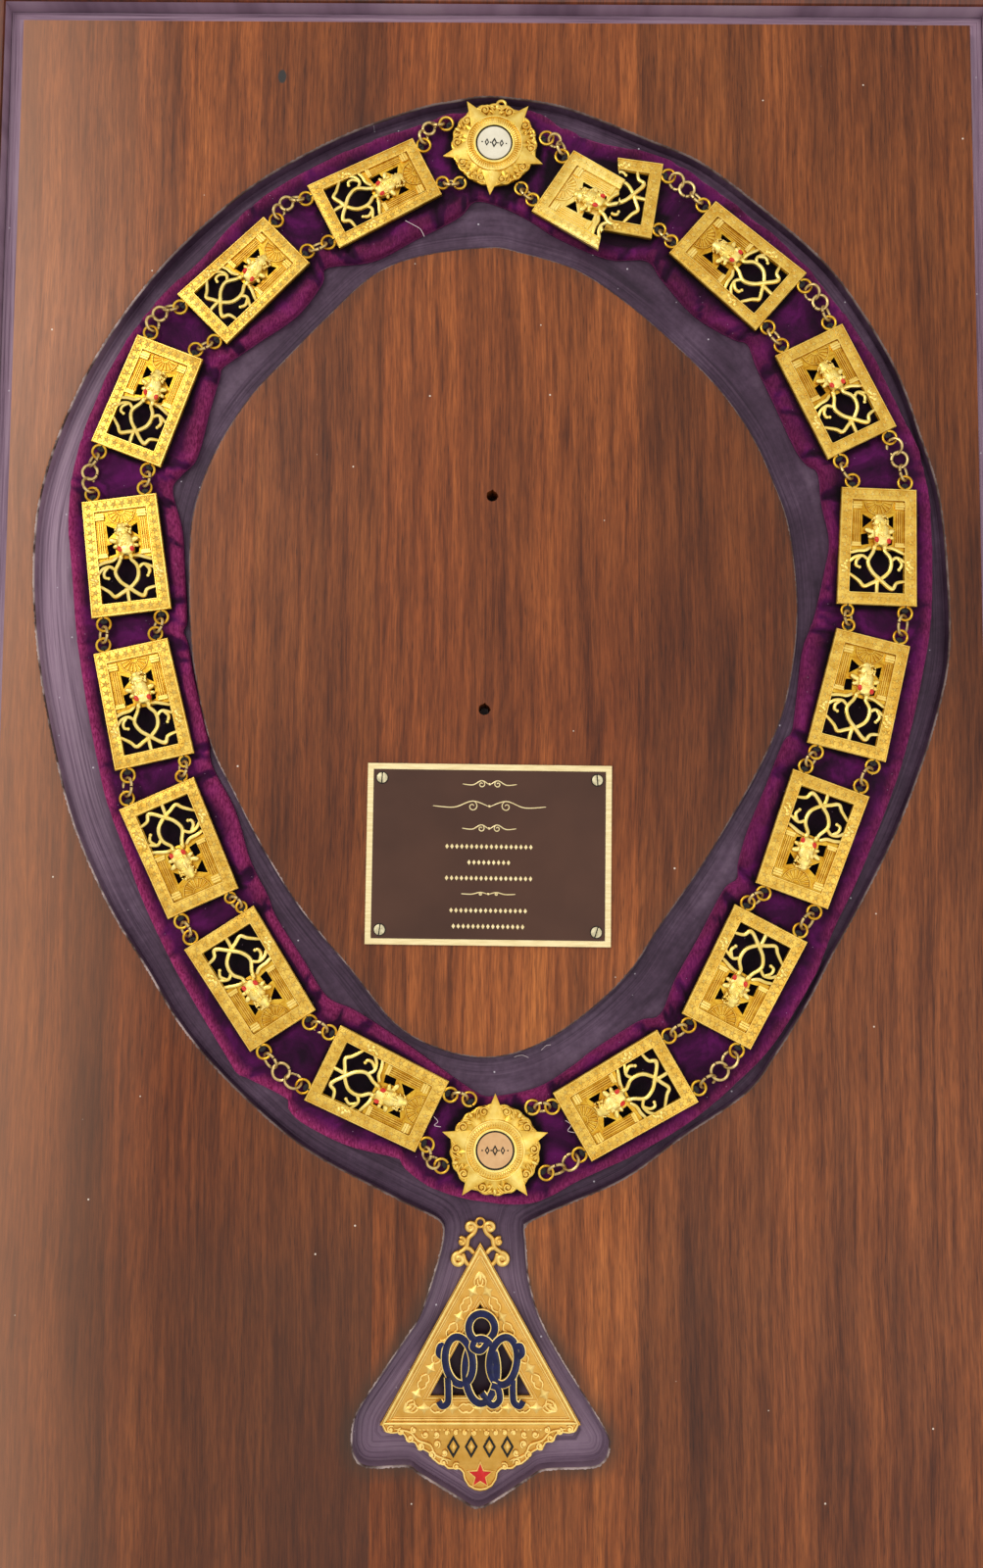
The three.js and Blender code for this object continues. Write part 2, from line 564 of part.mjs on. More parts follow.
function frameSolid() {
  const width = FIELD_WIDTH + 2 * (REBATE_WIDTH + FRAME_GAP);
  const length = FIELD_LENGTH + 2 * (REBATE_WIDTH + FRAME_GAP);
  const outer = rectangle(width + 2 * FRAME_RAIL, length + 2 * FRAME_RAIL);
  return prism(outer, 0, FRAME_TOP, [rectangle(width, length).reverse()]);
}

function namePlateSolid() {
  const [width, height] = NAME_PLATE_SIZE;
  const base = BOARD_TOP + NAME_PLATE_GAP;
  const top = base + NAME_PLATE_THICKNESS;
  const parts = [prism(rectangle(width, height), base, top)];
  for (const sx of [-1, 1]) {
    for (const sy of [-1, 1]) {
      const x = sx * (width / 2 - NAME_SCREW_INSET);
      const y = sy * (height / 2 - NAME_SCREW_INSET);
      const screw = circle(x, y, NAME_SCREW_RADIUS, 10);
      parts.push(prism(screw, top - JOINED, top + NAME_SCREW_HEIGHT));
    }
  }
  const [cx, cy] = NAME_PLATE_CENTRE;
  return placed(union(parts), cx, cy, 0, NAME_PLATE_TURN);
}

// ---------------------------------------------------------------- velvet collar
// The hollow that the pile is pressed into across one gap of the chain.
function gapDip([a, aEnd, b, bEnd]) {
  const outer = [anchorOf(a, aEnd, 'outer'), anchorOf(b, bEnd, 'outer')];
  const inner = [anchorOf(a, aEnd, 'inner'), anchorOf(b, bEnd, 'inner')];
  const middle = ([p, q]) => [(p.x + q.x) / 2, (p.y + q.y) / 2];
  const [ox, oy] = middle(outer);
  const [ix, iy] = middle(inner);
  const width = Math.hypot(outer[1].x - outer[0].x, outer[1].y - outer[0].y);
  const outline = rectangle(DIP_LENGTH, Math.max(width, NARROWEST_DIP));
  const turn = THREE.MathUtils.radToDeg(Math.atan2(oy - iy, ox - ix));
  const dip = prism(outline, GAP_FLOOR, VELVET_TOP + 1);
  return placed(dip, (ox + ix) / 2, (oy + iy) / 2, 0, turn);
}

function velvetSolid() {
  const options = {
    depth: VELVET_TOP - VELVET_BASE - 2 * VELVET_BEVEL,
    bevelEnabled: true,
    bevelThickness: VELVET_BEVEL,
    bevelSize: VELVET_BEVEL,
    bevelOffset: -VELVET_BEVEL,
    bevelSegments: 1,
    curveSegments: 1,
  };
  const geometry = new THREE.ExtrudeGeometry(shapeOf(VELVET_OUTER, [VELVET_INNER]), options);
  let velvet = solid(geometry.translate(0, 0, VELVET_BASE + VELVET_BEVEL));
  for (const gap of GAPS) {
    velvet = velvet.subtract(gapDip(gap));
  }
  return velvet;
}

// ---------------------------------------------------------------- assembly
const COLOURS = {
  walnut: 0x7a4a30, paint: 0x776078, frame: 0x5a3622, bronze: 0x4a3226, gold: 0xe8c25a,
  velvet: 0x4a0340, ring: 0xb89a58,
};

function addMesh(group, name, manifold, colour, metalness) {
  const material = new THREE.MeshStandardMaterial({ color: colour, metalness, roughness: 0.45 });
  const mesh = new THREE.Mesh(geometryOf(manifold), material);
  mesh.name = name;
  group.add(mesh);
}

function eyeletsOf() {
  const list = {};
  for (const [a, aEnd, b, bEnd] of GAPS) {
    for (const side of ['outer', 'inner']) {
      const pair = [anchorOf(a, aEnd, side), anchorOf(b, bEnd, side)];
      const radius = eyeletRadius(pair[0], pair[1]);
      list[a] = [...(list[a] || []), eyelet(pair[0], radius)];
      list[b] = [...(list[b] || []), eyelet(pair[1], radius)];
    }
  }
  return list;
}

function headHalfSolid() {
  const { x, y, turn, tilt, head, tail } = HEAD_HALF;
  const whole = plateSolid(head, tail);
  const kept = whole.intersect(prism(HEAD_HALF_BREAK, -1, 6));
  const turnAxis = new THREE.Matrix4().makeTranslation(PLATE_LENGTH / 2, 0, 0);
  turnAxis.multiply(new THREE.Matrix4().makeRotationY(rad(tilt)));
  turnAxis.multiply(new THREE.Matrix4().makeTranslation(-PLATE_LENGTH / 2, 0, 0));
  return placed(moved(kept, turnAxis), x, y, PLATE_BASE, turn);
}

function tailHalfSolid() {
  const { x, y, turn, head, tail } = TAIL_HALF;
  const kept = plateSolid(head, tail).intersect(prism(TAIL_HALF_BREAK, -1, 6));
  return placed(kept, x, y, PLATE_BASE, turn);
}

function build() {
  const group = new THREE.Group();
  addMesh(group, 'board', boardSolid(), COLOURS.walnut, 0);
  addMesh(group, 'frame', frameSolid(), COLOURS.frame, 0);
  addMesh(group, 'name_plate', namePlateSolid(), COLOURS.bronze, 0.6);
  addMesh(group, 'velvet_collar', velvetSolid(), COLOURS.velvet, 0);
  addMesh(group, 'jewel', placed(jewelSolid(), JEWEL.x, JEWEL.y, VELVET_BASE, JEWEL.turn),
    COLOURS.gold, 1);
  const eyelets = eyeletsOf();
  for (const [name, pose] of Object.entries(PLATES)) {
    const plate = placed(plateSolid(pose.head, pose.tail), pose.x, pose.y, PLATE_BASE, pose.turn);
    addMesh(group, name, union([plate, ...eyelets[name]]), COLOURS.gold, 1);
  }
  const halves = {
    plate_right_1_head_half: headHalfSolid(),
    plate_right_1_antler_half: tailHalfSolid(),
  };
  for (const [name, half] of Object.entries(halves)) {
    addMesh(group, name, union([half, ...eyelets[name]]), COLOURS.gold, 1);
  }
  for (const [name, pose] of Object.entries(MEDALLIONS)) {
    const disc = placed(medallionSolid(pose.loop), pose.x, pose.y, PLATE_BASE, pose.turn);
    addMesh(group, name, union([disc, ...eyelets[name]]), COLOURS.gold, 1);
  }
  GAPS.forEach(([a, aEnd, b, bEnd, count], index) => {
    for (const [side, rings] of [['outer', count], ['inner', 1]]) {
      const ends = [anchorOf(a, aEnd, side), anchorOf(b, bEnd, side)];
      const poses = ringPoses(ends[0], ends[1], rings);
      const number = String(index + 1).padStart(2, '0');
      addMesh(group, `rings_${number}_${side}`, union(poses.map(ringSolid)), COLOURS.ring, 1);
    }
  });
  return group;
}

export default build();
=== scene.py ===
import bmesh
import bpy
import math
import numpy as np
from bpy.props import FloatProperty, IntProperty, PointerProperty
from mathutils import Matrix, Vector


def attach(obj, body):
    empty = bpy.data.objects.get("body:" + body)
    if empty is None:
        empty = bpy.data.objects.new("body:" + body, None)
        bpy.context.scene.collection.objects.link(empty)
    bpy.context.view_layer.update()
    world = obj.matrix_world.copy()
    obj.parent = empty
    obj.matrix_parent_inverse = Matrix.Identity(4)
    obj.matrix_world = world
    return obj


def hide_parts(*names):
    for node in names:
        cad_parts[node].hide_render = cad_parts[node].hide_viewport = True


bl_info = {
    "name": "Chain of office on a display board",
    "version": (1, 0, 0),
    "blender": (4, 5, 0),
    "location": "3D View > Sidebar > Chain",
    "description": "Builds a gilt chain of office with its velvet collar, jewel and fitted board",
    "category": "Add Mesh",
}

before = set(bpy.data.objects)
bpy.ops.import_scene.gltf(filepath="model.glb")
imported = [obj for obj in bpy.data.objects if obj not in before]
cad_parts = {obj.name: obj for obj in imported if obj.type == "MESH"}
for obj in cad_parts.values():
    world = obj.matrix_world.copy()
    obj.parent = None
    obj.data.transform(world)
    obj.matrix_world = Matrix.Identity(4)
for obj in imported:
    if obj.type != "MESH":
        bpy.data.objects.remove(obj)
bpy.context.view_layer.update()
MM = 0.001

# ---- heights in millimetres above the board's underside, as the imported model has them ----
BOARD_TOP = 19.0
RECESS_FLOOR = 14.0
VELVET_BASE = 14.3
PLATE_BASE = 18.1
RING_LEVEL = 18.95

# ---- chain bodies: centre, direction of the head end, widths at the two ends ----
PLATES = {
    "plate_left_1": (-50.8, 247.4, 27.2, 27.5, 30.5, 1),
    "plate_left_2": (-105.2, 208.9, 44.7, 28, 30, 1),
    "plate_left_3": (-144.3, 156.7, 69.2, 29.5, 31, 1),
    "plate_left_4": (-152.1, 91.1, 97.6, 31, 33, 1),
    "plate_left_5": (-143.4, 29.5, 103.1, 31, 33, 1),
    "plate_left_6": (-126.8, -29.5, -65.8, 31, 33, -1),
    "plate_left_7": (-96.9, -82, -57.1, 31, 33, -1),
    "plate_left_8": (-45.4, -125.6, -25.5, 31, 33, -1),
    "plate_right_8": (54, -127.7, -149.9, 31, 33, 1),
    "plate_right_7": (101.9, -80, -117.4, 31, 33, 1),
    "plate_right_6": (129.9, -24.2, -109.9, 31, 33, 1),
    "plate_right_5": (150.4, 35.1, 76.1, 31, 33, -1),
    "plate_right_4": (158.7, 96.7, 88, 31, 33, -1),
    "plate_right_3": (142, 162.4, 116.4, 31.5, 32, -1),
    "plate_right_2": (101.3, 216.7, 139, 30, 33, -1),
}
HEAD_HALF = (44.5, 239, 146.5, 32, 32, -1)
HEAD_HALF_TILT = 5.5
TAIL_HALF = (43.9, 247.7, 171, 31, 33, -1)
HEAD_HALF_BREAK = [
    (24.5, 16), (-9, 16.4), (-6, 9), (-8.5, 4), (-4, 0), (-5.5, -6), (-2, -10), (-1.5, -15.8),
    (24.5, -16),
]
TAIL_HALF_BREAK = [
    (-24.5, 16.5), (-4, 16.4), (-6, 9), (-8.5, 4), (-6.5, 0), (-7.5, -6), (-6.2, -10),
    (-5, -16.2), (-24.5, -16.5),
]
PLATE_LENGTH = 49.0
NOMINAL_WIDTH = 32.0

MEDALLIONS = {
    "medallion_top": (-0.8, 268.3, 175.6),
    "medallion_bottom": (2, -149, 0),
}
MEDALLION_LOOP = (-1.6, -17.6)
MEDALLION_EYELETS = {
    "medallion_top": {"left": {"outer": (-19.9, 9.1), "inner": (-14.2, -16.4)},
                      "right": {"outer": (20.6, 3), "inner": (11, -18)}},
    "medallion_bottom": {"left": {"inner": (-10.2, 19.3), "outer": (-21.2, -6.5)},
                         "right": {"inner": (14.6, 16.4), "outer": (20.1, -8.9)}},
}
DISC_RADIUS = 19.5

JEWEL = (-3.2, -257.2, 0.4)

# Each gap of the chain: the bodies it joins, the ends that face it, rings in the outer run.
GAPS = [
    ("medallion_top", "left", "plate_left_1", "head", 3),
    ("plate_left_1", "tail", "plate_left_2", "head", 3),
    ("plate_left_2", "tail", "plate_left_3", "head", 3),
    ("plate_left_3", "tail", "plate_left_4", "head", 3),
    ("plate_left_4", "tail", "plate_left_5", "head", 1),
    ("plate_left_5", "tail", "plate_left_6", "tail", 1),
    ("plate_left_6", "head", "plate_left_7", "tail", 1),
    ("plate_left_7", "head", "plate_left_8", "tail", 3),
    ("plate_left_8", "head", "medallion_bottom", "left", 2),
    ("medallion_bottom", "right", "plate_right_8", "head", 2),
    ("plate_right_8", "tail", "plate_right_7", "head", 3),
    ("plate_right_7", "tail", "plate_right_6", "head", 1),
    ("plate_right_6", "tail", "plate_right_5", "tail", 1),
    ("plate_right_5", "head", "plate_right_4", "tail", 1),
    ("plate_right_4", "head", "plate_right_3", "tail", 3),
    ("plate_right_3", "head", "plate_right_2", "tail", 3),
    ("plate_right_2", "head", "plate_right_1_antler_half", "tail", 3),
    ("plate_right_1_head_half", "head", "medallion_top", "right", 2),
]
EYELET_RADIUS = 2.8
EYELET_SIDE = 4.6
EYELET_WIRE = 0.56
WIRE = 0.5
RING_RADIUS = 3.1
SMALLEST_RING = 2.6
RUN_SLACK = 1.12
RING_TILT = 48

# ---- outlines in order round the board ----
RECESS_EDGE = [
    (-2, 289.5), (-17, 287.5), (-33, 284), (-65.5, 271.5), (-98, 253), (-121, 234), (-141, 213),
    (-159, 188), (-173, 162), (-183.5, 134), (-189, 108), (-189.5, 77.5), (-186, 45),
    (-179, 11.5), (-170, -20), (-155, -52.5), (-138.5, -78.5), (-123.5, -102), (-102, -125.5),
    (-73.5, -149), (-38.5, -167.5), (-29, -172), (-19.5, -177), (-18, -183.5), (-21.5, -198),
    (-27, -214), (-32, -222), (-42.5, -237.5), (-52, -252.5), (-53.5, -263.5), (-52.5, -268),
    (-50, -271), (-45, -272), (-31.5, -271.5), (-27.5, -274), (-13, -282.5), (-6.5, -286.5),
    (-3, -287), (1.5, -285), (16.5, -275.5), (22.5, -272.5), (41, -271.5), (46, -268.5),
    (47.5, -263.5), (46.5, -259), (38.5, -246), (29, -231.5), (20.5, -216.5), (15.5, -201),
    (14, -186), (13.5, -180), (15, -177.5), (27.5, -171.5), (53.5, -160), (76, -144),
    (102.5, -126), (114.5, -110.5), (127.5, -90), (137.5, -71), (151, -47), (163.5, -22.5),
    (173.5, 2), (181.5, 26), (187, 50.5), (187.5, 80.5), (184.5, 117.5), (177, 144),
    (167.5, 171.5), (152, 199), (136.5, 219.5), (112.5, 241), (86.5, 261), (64, 271), (40, 281),
    (22.5, 286.5),
]
ISLAND_EDGE = [
    (-2.5, 224), (-30, 220.5), (-51, 212), (-70.5, 193.5), (-86.5, 176.5), (-102.5, 158.5),
    (-115.5, 137), (-123.5, 115.5), (-126, 96), (-125, 61), (-121.5, 36.5), (-115, 12),
    (-106, -6), (-93, -30), (-77, -54.5), (-57, -78), (-39, -99.5), (-21, -109.5), (-1, -113),
    (18.5, -108), (38, -95.5), (56, -78.5), (68, -60.5), (83.5, -38.5), (97, -17), (109.5, 5),
    (119, 27), (124, 50.5), (125.5, 75), (122.5, 104.5), (116, 124.5), (107, 144.5), (93.5, 164),
    (75, 183), (55, 200.5), (34, 214.5), (10, 222),
]
VELVET_OUTER = [
    (-13, 285), (-34.5, 278.5), (-59.5, 269), (-84.5, 256.5), (-104.5, 242), (-124, 220),
    (-142.5, 201), (-157, 181), (-168, 156.5), (-175.5, 131), (-177.5, 107.5), (-175.5, 86.5),
    (-173, 61), (-169.5, 39), (-164, 12), (-158.5, -10), (-150, -32), (-141, -54.5), (-129, -78),
    (-117.5, -97), (-106.5, -114.5), (-102.5, -120.5), (-98, -122.5), (-82, -130.5),
    (-81.5, -134.5), (-75, -140.5), (-57, -149), (-36.5, -154), (-34.5, -157.5), (-23, -165.5),
    (-4, -170.5), (17.5, -171), (36, -162), (59.5, -151), (81.5, -138), (100, -122.5),
    (115, -107), (131, -81), (139.5, -61.5), (149.5, -41), (161, -14), (170, 11.5), (176.5, 38.5),
    (181.5, 66), (182.5, 103), (179.5, 131.5), (171, 153.5), (160.5, 176), (150.5, 192.5),
    (142, 204), (133, 216), (120, 229), (109.5, 238), (100, 246), (80, 260.5), (65.5, 267),
    (43, 272), (28, 278), (27, 278.5), (13.5, 286),
]
VELVET_INNER = [
    (1.5, 244), (-9, 246), (-15.5, 239), (-34, 229), (-51.5, 219.5), (-71.5, 216.5), (-73, 210),
    (-83.5, 195.5), (-99.5, 184), (-114.5, 173), (-115.5, 169.5), (-119.5, 154.5), (-124.5, 134),
    (-131, 126.5), (-134.5, 120), (-130, 103.5), (-128.5, 86.5), (-127, 65.5), (-128.5, 60.5),
    (-126.5, 55.5), (-122.5, 37), (-117, 17), (-115.5, 5), (-105.5, -13.5), (-99, -34),
    (-91.5, -48.5), (-88, -57), (-76.5, -74.5), (-67, -89), (-56.5, -94), (-50.5, -97.5),
    (-35.5, -107), (-19, -118.5), (-7, -126.5), (0.5, -129), (19.5, -125), (34, -116),
    (41, -110.5), (60, -98.5), (67, -97), (70.5, -93), (75, -81.5), (84, -65.5), (95, -45),
    (100.5, -40.5), (101, -34), (105, -20.5), (112.5, -2.5), (120, 16), (123.5, 20),
    (125.5, 33.5), (128, 53), (131.5, 63), (134, 70.5), (138, 88), (140, 100.5), (137, 115.5),
    (135.5, 129), (131, 132.5), (126, 139.5), (117.5, 158.5), (110, 175), (106.5, 184.5),
    (100.5, 186.5), (84, 196.5), (70.5, 212), (64, 220.5), (48, 221), (26.5, 230), (14, 238),
]
FIELD = (403.0, 645.0)
REBATE_WIDTH = 7.0
SCREW_HOLES = [(-0.8, 117.2), (-3.5, 28.1)]


# ---------------------------------------------------------------- plain geometry
class Form:
    """A mesh in millimetres as it grows: its points, its faces and each face's finish."""

    def __init__(self):
        self.points = []
        self.faces = []
        self.finish = []

    def add(self, points, faces, finish=0):
        start = len(self.points)
        self.points.extend(tuple(float(c) for c in p) for p in points)
        self.faces.extend(tuple(i + start for i in face) for face in faces)
        self.finish.extend([finish] * len(faces))
        return self

    def add_form(self, other, place=None):
        start = len(self.points)
        points = np.array(other.points)
        moved = points if place is None else place(points)
        self.points.extend(map(tuple, moved))
        self.faces.extend(tuple(i + start for i in face) for face in other.faces)
        self.finish.extend(other.finish)
        return self


def smooth_path(points, per, closed=True):
    """A smooth line through given points, with `per` steps between each two."""
    p = np.array(points, float)
    n = len(p)
    out = []
    for i in range(n if closed else n - 1):
        if closed:
            a, b, c, d = p[i - 1], p[i], p[(i + 1) % n], p[(i + 2) % n]
        else:
            a, b, c, d = p[max(i - 1, 0)], p[i], p[i + 1], p[min(i + 2, n - 1)]
        for t in np.arange(per) / per:
            out.append(0.5 * (2 * b + (c - a) * t + (2 * a - 5 * b + 4 * c - d) * t * t
                              + (3 * b - a - 3 * c + d) * t ** 3))
    if not closed:
        out.append(p[-1])
    return np.array(out)


def evenly(loop, spacing, closed=True):
    """A line resampled to an even spacing."""
    line = np.vstack([loop, loop[:1]]) if closed else np.array(loop)
    steps = np.linalg.norm(np.diff(line, axis=0), axis=1)
    run = np.concatenate([[0], np.cumsum(steps)])
    count = max(3, int(round(run[-1] / spacing)))
    at = np.linspace(0, run[-1], count, endpoint=not closed)
    return np.stack([np.interp(at, run, line[:, k]) for k in range(line.shape[1])], 1)


def circle(x, y, radius, sides):
    a = np.arange(sides) / sides * math.tau
    return np.stack([x + radius * np.cos(a), y + radius * np.sin(a)], 1)


def around(x, y, reach, degrees):
    """The point at a reach from (x, y), in a direction."""
    a = math.radians(degrees)
    return x + reach * math.cos(a), y + reach * math.sin(a)


def spun(points, angle):
    """Points turned about the upright through the origin, by radians."""
    cos, sin = math.cos(angle), math.sin(angle)
    x, y = points[:, 0], points[:, 1]
    return np.column_stack([x * cos - y * sin, x * sin + y * cos, points[:, 2]])


def lifted(path, z):
    """A flat path raised to one height, or to a height for each point."""
    path = np.asarray(path, float)
    heights = np.broadcast_to(z, len(path))
    return np.column_stack([path[:, :2], heights])


def unit_rows(rows):
    return rows / np.maximum(np.linalg.norm(rows, axis=1, keepdims=True), 1e-9)


def sweep(path, section, closed=False, scale=1.0):
    """A section (across, up) carried along a path that never stands upright."""
    path = np.asarray(path, float)
    section = np.asarray(section, float)
    n, k = len(path), len(section)
    scale = np.broadcast_to(scale, n)
    if closed:
        along = np.roll(path, -1, 0) - np.roll(path, 1, 0)
    else:
        along = np.gradient(path, axis=0)
    along = unit_rows(along)
    side = unit_rows(np.cross(np.array([[0, 0, 1.0]]), along))
    up = np.cross(along, side)
    points = (path[:, None] + scale[:, None, None]
              * (section[None, :, :1] * side[:, None] + section[None, :, 1:] * up[:, None]))
    faces = []
    for i in range(n if closed else n - 1):
        j = (i + 1) % n
        for s in range(k):
            t = (s + 1) % k
            faces.append((i * k + s, i * k + t, j * k + t, j * k + s))
    if not closed:
        faces.append(tuple(reversed(range(k))))
        faces.append(tuple(range((n - 1) * k, n * k)))
    return points.reshape(-1, 3), faces


def tube(path, radius, sides=8, closed=False, flat=1.0):
    """A round bar along a path; its radius may change from point to point."""
    section = circle(0, 0, 1, sides)
    section[:, 1] *= flat
    return sweep(path, section, closed, np.broadcast_to(radius, len(path)))


def tapered(count, radius, tip=0.45):
    """Radii that fall away toward both ends of a bar."""
    t = np.linspace(-1, 1, count)
    return radius * (tip + (1 - tip) * np.sqrt(np.clip(1 - t ** 4, 0, 1)))


def blob(centre, radii, turn=0.0, rings=6, segments=10):
    """A rounded lump, turned about the upright by degrees."""
    points = [(0, 0, -1)]
    for i in range(1, rings):
        down = math.pi * i / rings
        for j in range(segments):
            a = math.tau * j / segments
            points.append((math.sin(down) * math.cos(a), math.sin(down) * math.sin(a),
                           -math.cos(down)))
    points.append((0, 0, 1))
    p = spun(np.array(points) * radii, math.radians(turn))
    faces = []
    for j in range(segments):
        k = (j + 1) % segments
        faces.append((0, 1 + k, 1 + j))
        last = 1 + (rings - 2) * segments
        faces.append((len(points) - 1, last + j, last + k))
        for i in range(rings - 2):
            low, high = 1 + i * segments, 1 + (i + 1) * segments
            faces.append((low + j, low + k, high + k, high + j))
    return p + np.array(centre), faces


def hoop(centre, radius, wire, turn=0.0, tilt=0.0, sides=28, section=8, opening=0.0):
    """A wire ring: turn and tilt in radians; a jump ring has an opening, in radians."""
    count = sides + (1 if opening else 0)
    start = math.pi / 2 + opening / 2
    a = start + np.linspace(0, math.tau - opening, count, endpoint=bool(opening))
    path = lifted(np.stack([radius * np.cos(a), radius * np.sin(a)], 1), 0)
    points, faces = tube(path, wire, section, closed=not opening)
    cos, sin = math.cos(tilt), math.sin(tilt)
    points = np.column_stack([points[:, 0], points[:, 1] * cos - points[:, 2] * sin,
                              points[:, 1] * sin + points[:, 2] * cos])
    return spun(points, turn) + np.array(centre), faces


def star_outline(x, y, tip, waist, start=math.pi / 2):
    """Five points and the waists between them; start in radians."""
    corners = np.arange(10)
    a = start + corners / 10 * math.tau
    r = np.where(corners % 2 == 0, tip, waist)
    return np.stack([x + r * np.cos(a), y + r * np.sin(a)], 1)


def crowned(outline, peak, low, high):
    """A flat-bottomed stud: an outline that rises in facets to one point."""
    n = len(outline)
    x, y = peak
    points = [*lifted(outline, low), *lifted(outline, low + (high - low) * 0.3), (x, y, high)]
    faces = [tuple(reversed(range(n)))]
    for i in range(n):
        j = (i + 1) % n
        faces.append((i, j, n + j, n + i))
        faces.append((n + i, n + j, 2 * n))
    return points, faces


def spiral(x, y, radius, start, turns, steps):
    """A scroll that winds in to its eye; angles in degrees, turns signed."""
    t = np.linspace(0, 1, steps)
    a = math.radians(start) + t * turns * math.tau
    r = radius * (1 - 0.75 * t ** 0.8)
    return np.stack([x + r * np.cos(a), y + r * np.sin(a)], 1)


def placed(x, y, z, turn):
    """A move from a piece's own place to the board: turn in degrees, then shift."""
    return lambda points: spun(points, math.radians(turn)) + (x, y, z)


# ---------------------------------------------------------------- Blender's own tools
def mesh_of(form, name="part"):
    mesh = bpy.data.meshes.new(name)
    mesh.from_pydata(form.points, [], form.faces)
    mesh.polygons.foreach_set("material_index", form.finish)
    mesh.update()
    return mesh


def form_of(mesh, finish=0):
    form = Form()
    form.add([v.co for v in mesh.vertices], [tuple(p.vertices) for p in mesh.polygons], finish)
    return form


def evaluated(obj):
    """The object's mesh with its modifiers worked in; the object is then gone."""
    graph = bpy.context.evaluated_depsgraph_get()
    graph.update()
    mesh = bpy.data.meshes.new_from_object(obj.evaluated_get(graph))
    bpy.data.objects.remove(obj)
    return mesh


def linked(name, data):
    obj = bpy.data.objects.new(name, data)
    bpy.context.scene.collection.objects.link(obj)
    return obj


def slab(outline, low, high, holes=(), soft=0.15, steps=1):
    """A flat piece with softened edges and openings, as points and faces."""
    curve = bpy.data.curves.new("slab", "CURVE")
    curve.dimensions = "2D"
    curve.fill_mode = "BOTH"
    curve.extrude = (high - low) / 2 - soft
    curve.bevel_depth = soft
    curve.bevel_resolution = steps - 1
    for loop in (outline, *holes):
        loop = np.asarray(loop, float)
        spline = curve.splines.new("POLY")
        spline.points.add(len(loop) - 1)
        spline.points.foreach_set("co", np.column_stack(
            [loop, np.zeros(len(loop)), np.ones(len(loop))]).ravel())
        spline.use_cyclic_u = True
    mesh = evaluated(linked("slab", curve))
    bm = bmesh.new()
    bm.from_mesh(mesh)
    bmesh.ops.remove_doubles(bm, verts=bm.verts, dist=1e-4)
    bmesh.ops.recalc_face_normals(bm, faces=bm.faces)
    bm.to_mesh(mesh)
    bm.free()
    points = np.array([v.co for v in mesh.vertices]) + (0, 0, (low + high) / 2)
    return points, [tuple(p.vertices) for p in mesh.polygons]


def fused(form, voxel, target):
    """Overlapping lumps run together into one skin of about `target` faces."""
    obj = linked("lumps", mesh_of(form))
    remesh = obj.modifiers.new("skin", "REMESH")
    remesh.mode = "VOXEL"
    remesh.voxel_size = voxel
    soften = obj.modifiers.new("soften", "SMOOTH")
    soften.iterations = 3
    mesh = evaluated(obj)
    thin = linked("skin", mesh)
    decimate = thin.modifiers.new("thin", "DECIMATE")
    decimate.ratio = min(1.0, target / max(1, len(mesh.polygons)))
    return form_of(evaluated(thin))


def repeat_tree():
    """Geometry nodes that stand one small form at even steps along a path."""
    name = "repeat along a path"
    if name in bpy.data.node_groups:
        return bpy.data.node_groups[name]
    tree = bpy.data.node_groups.new(name, "GeometryNodeTree")
    face = tree.interface
    face.new_socket("Geometry", in_out="INPUT", socket_type="NodeSocketGeometry")
    spacing = face.new_socket("Spacing", in_out="INPUT", socket_type="NodeSocketFloat")
    spacing.default_value = 1.0
    spacing.min_value = 0.01
    face.new_socket("Unit", in_out="INPUT", socket_type="NodeSocketObject")
    face.new_socket("Finish", in_out="INPUT", socket_type="NodeSocketMaterial")
    face.new_socket("Geometry", in_out="OUTPUT", socket_type="NodeSocketGeometry")
    add = tree.nodes.new
    source, result = add("NodeGroupInput"), add("NodeGroupOutput")
    to_curve, resample = add("GeometryNodeMeshToCurve"), add("GeometryNodeResampleCurve")
    resample.mode = "LENGTH"
    tangent, align = add("GeometryNodeInputTangent"), add("FunctionNodeAlignRotationToVector")
    align.axis = "X"
    align.pivot_axis = "Z"
    info, stand = add("GeometryNodeObjectInfo"), add("GeometryNodeInstanceOnPoints")
    realise, finish = add("GeometryNodeRealizeInstances"), add("GeometryNodeSetMaterial")
    join = tree.links.new
    join(source.outputs["Geometry"], to_curve.inputs["Mesh"])
    join(to_curve.outputs["Curve"], resample.inputs["Curve"])
    join(source.outputs["Spacing"], resample.inputs["Length"])
    join(source.outputs["Unit"], info.inputs["Object"])
    join(tangent.outputs["Tangent"], align.inputs["Vector"])
    join(resample.outputs["Curve"], stand.inputs["Points"])
    join(info.outputs["Geometry"], stand.inputs["Instance"])
    join(align.outputs["Rotation"], stand.inputs["Rotation"])
    join(stand.outputs["Instances"], realise.inputs["Geometry"])
    join(realise.outputs["Geometry"], finish.inputs["Geometry"])
    join(source.outputs["Finish"], finish.inputs["Material"])
    join(finish.outputs["Geometry"], result.inputs["Geometry"])
    return tree


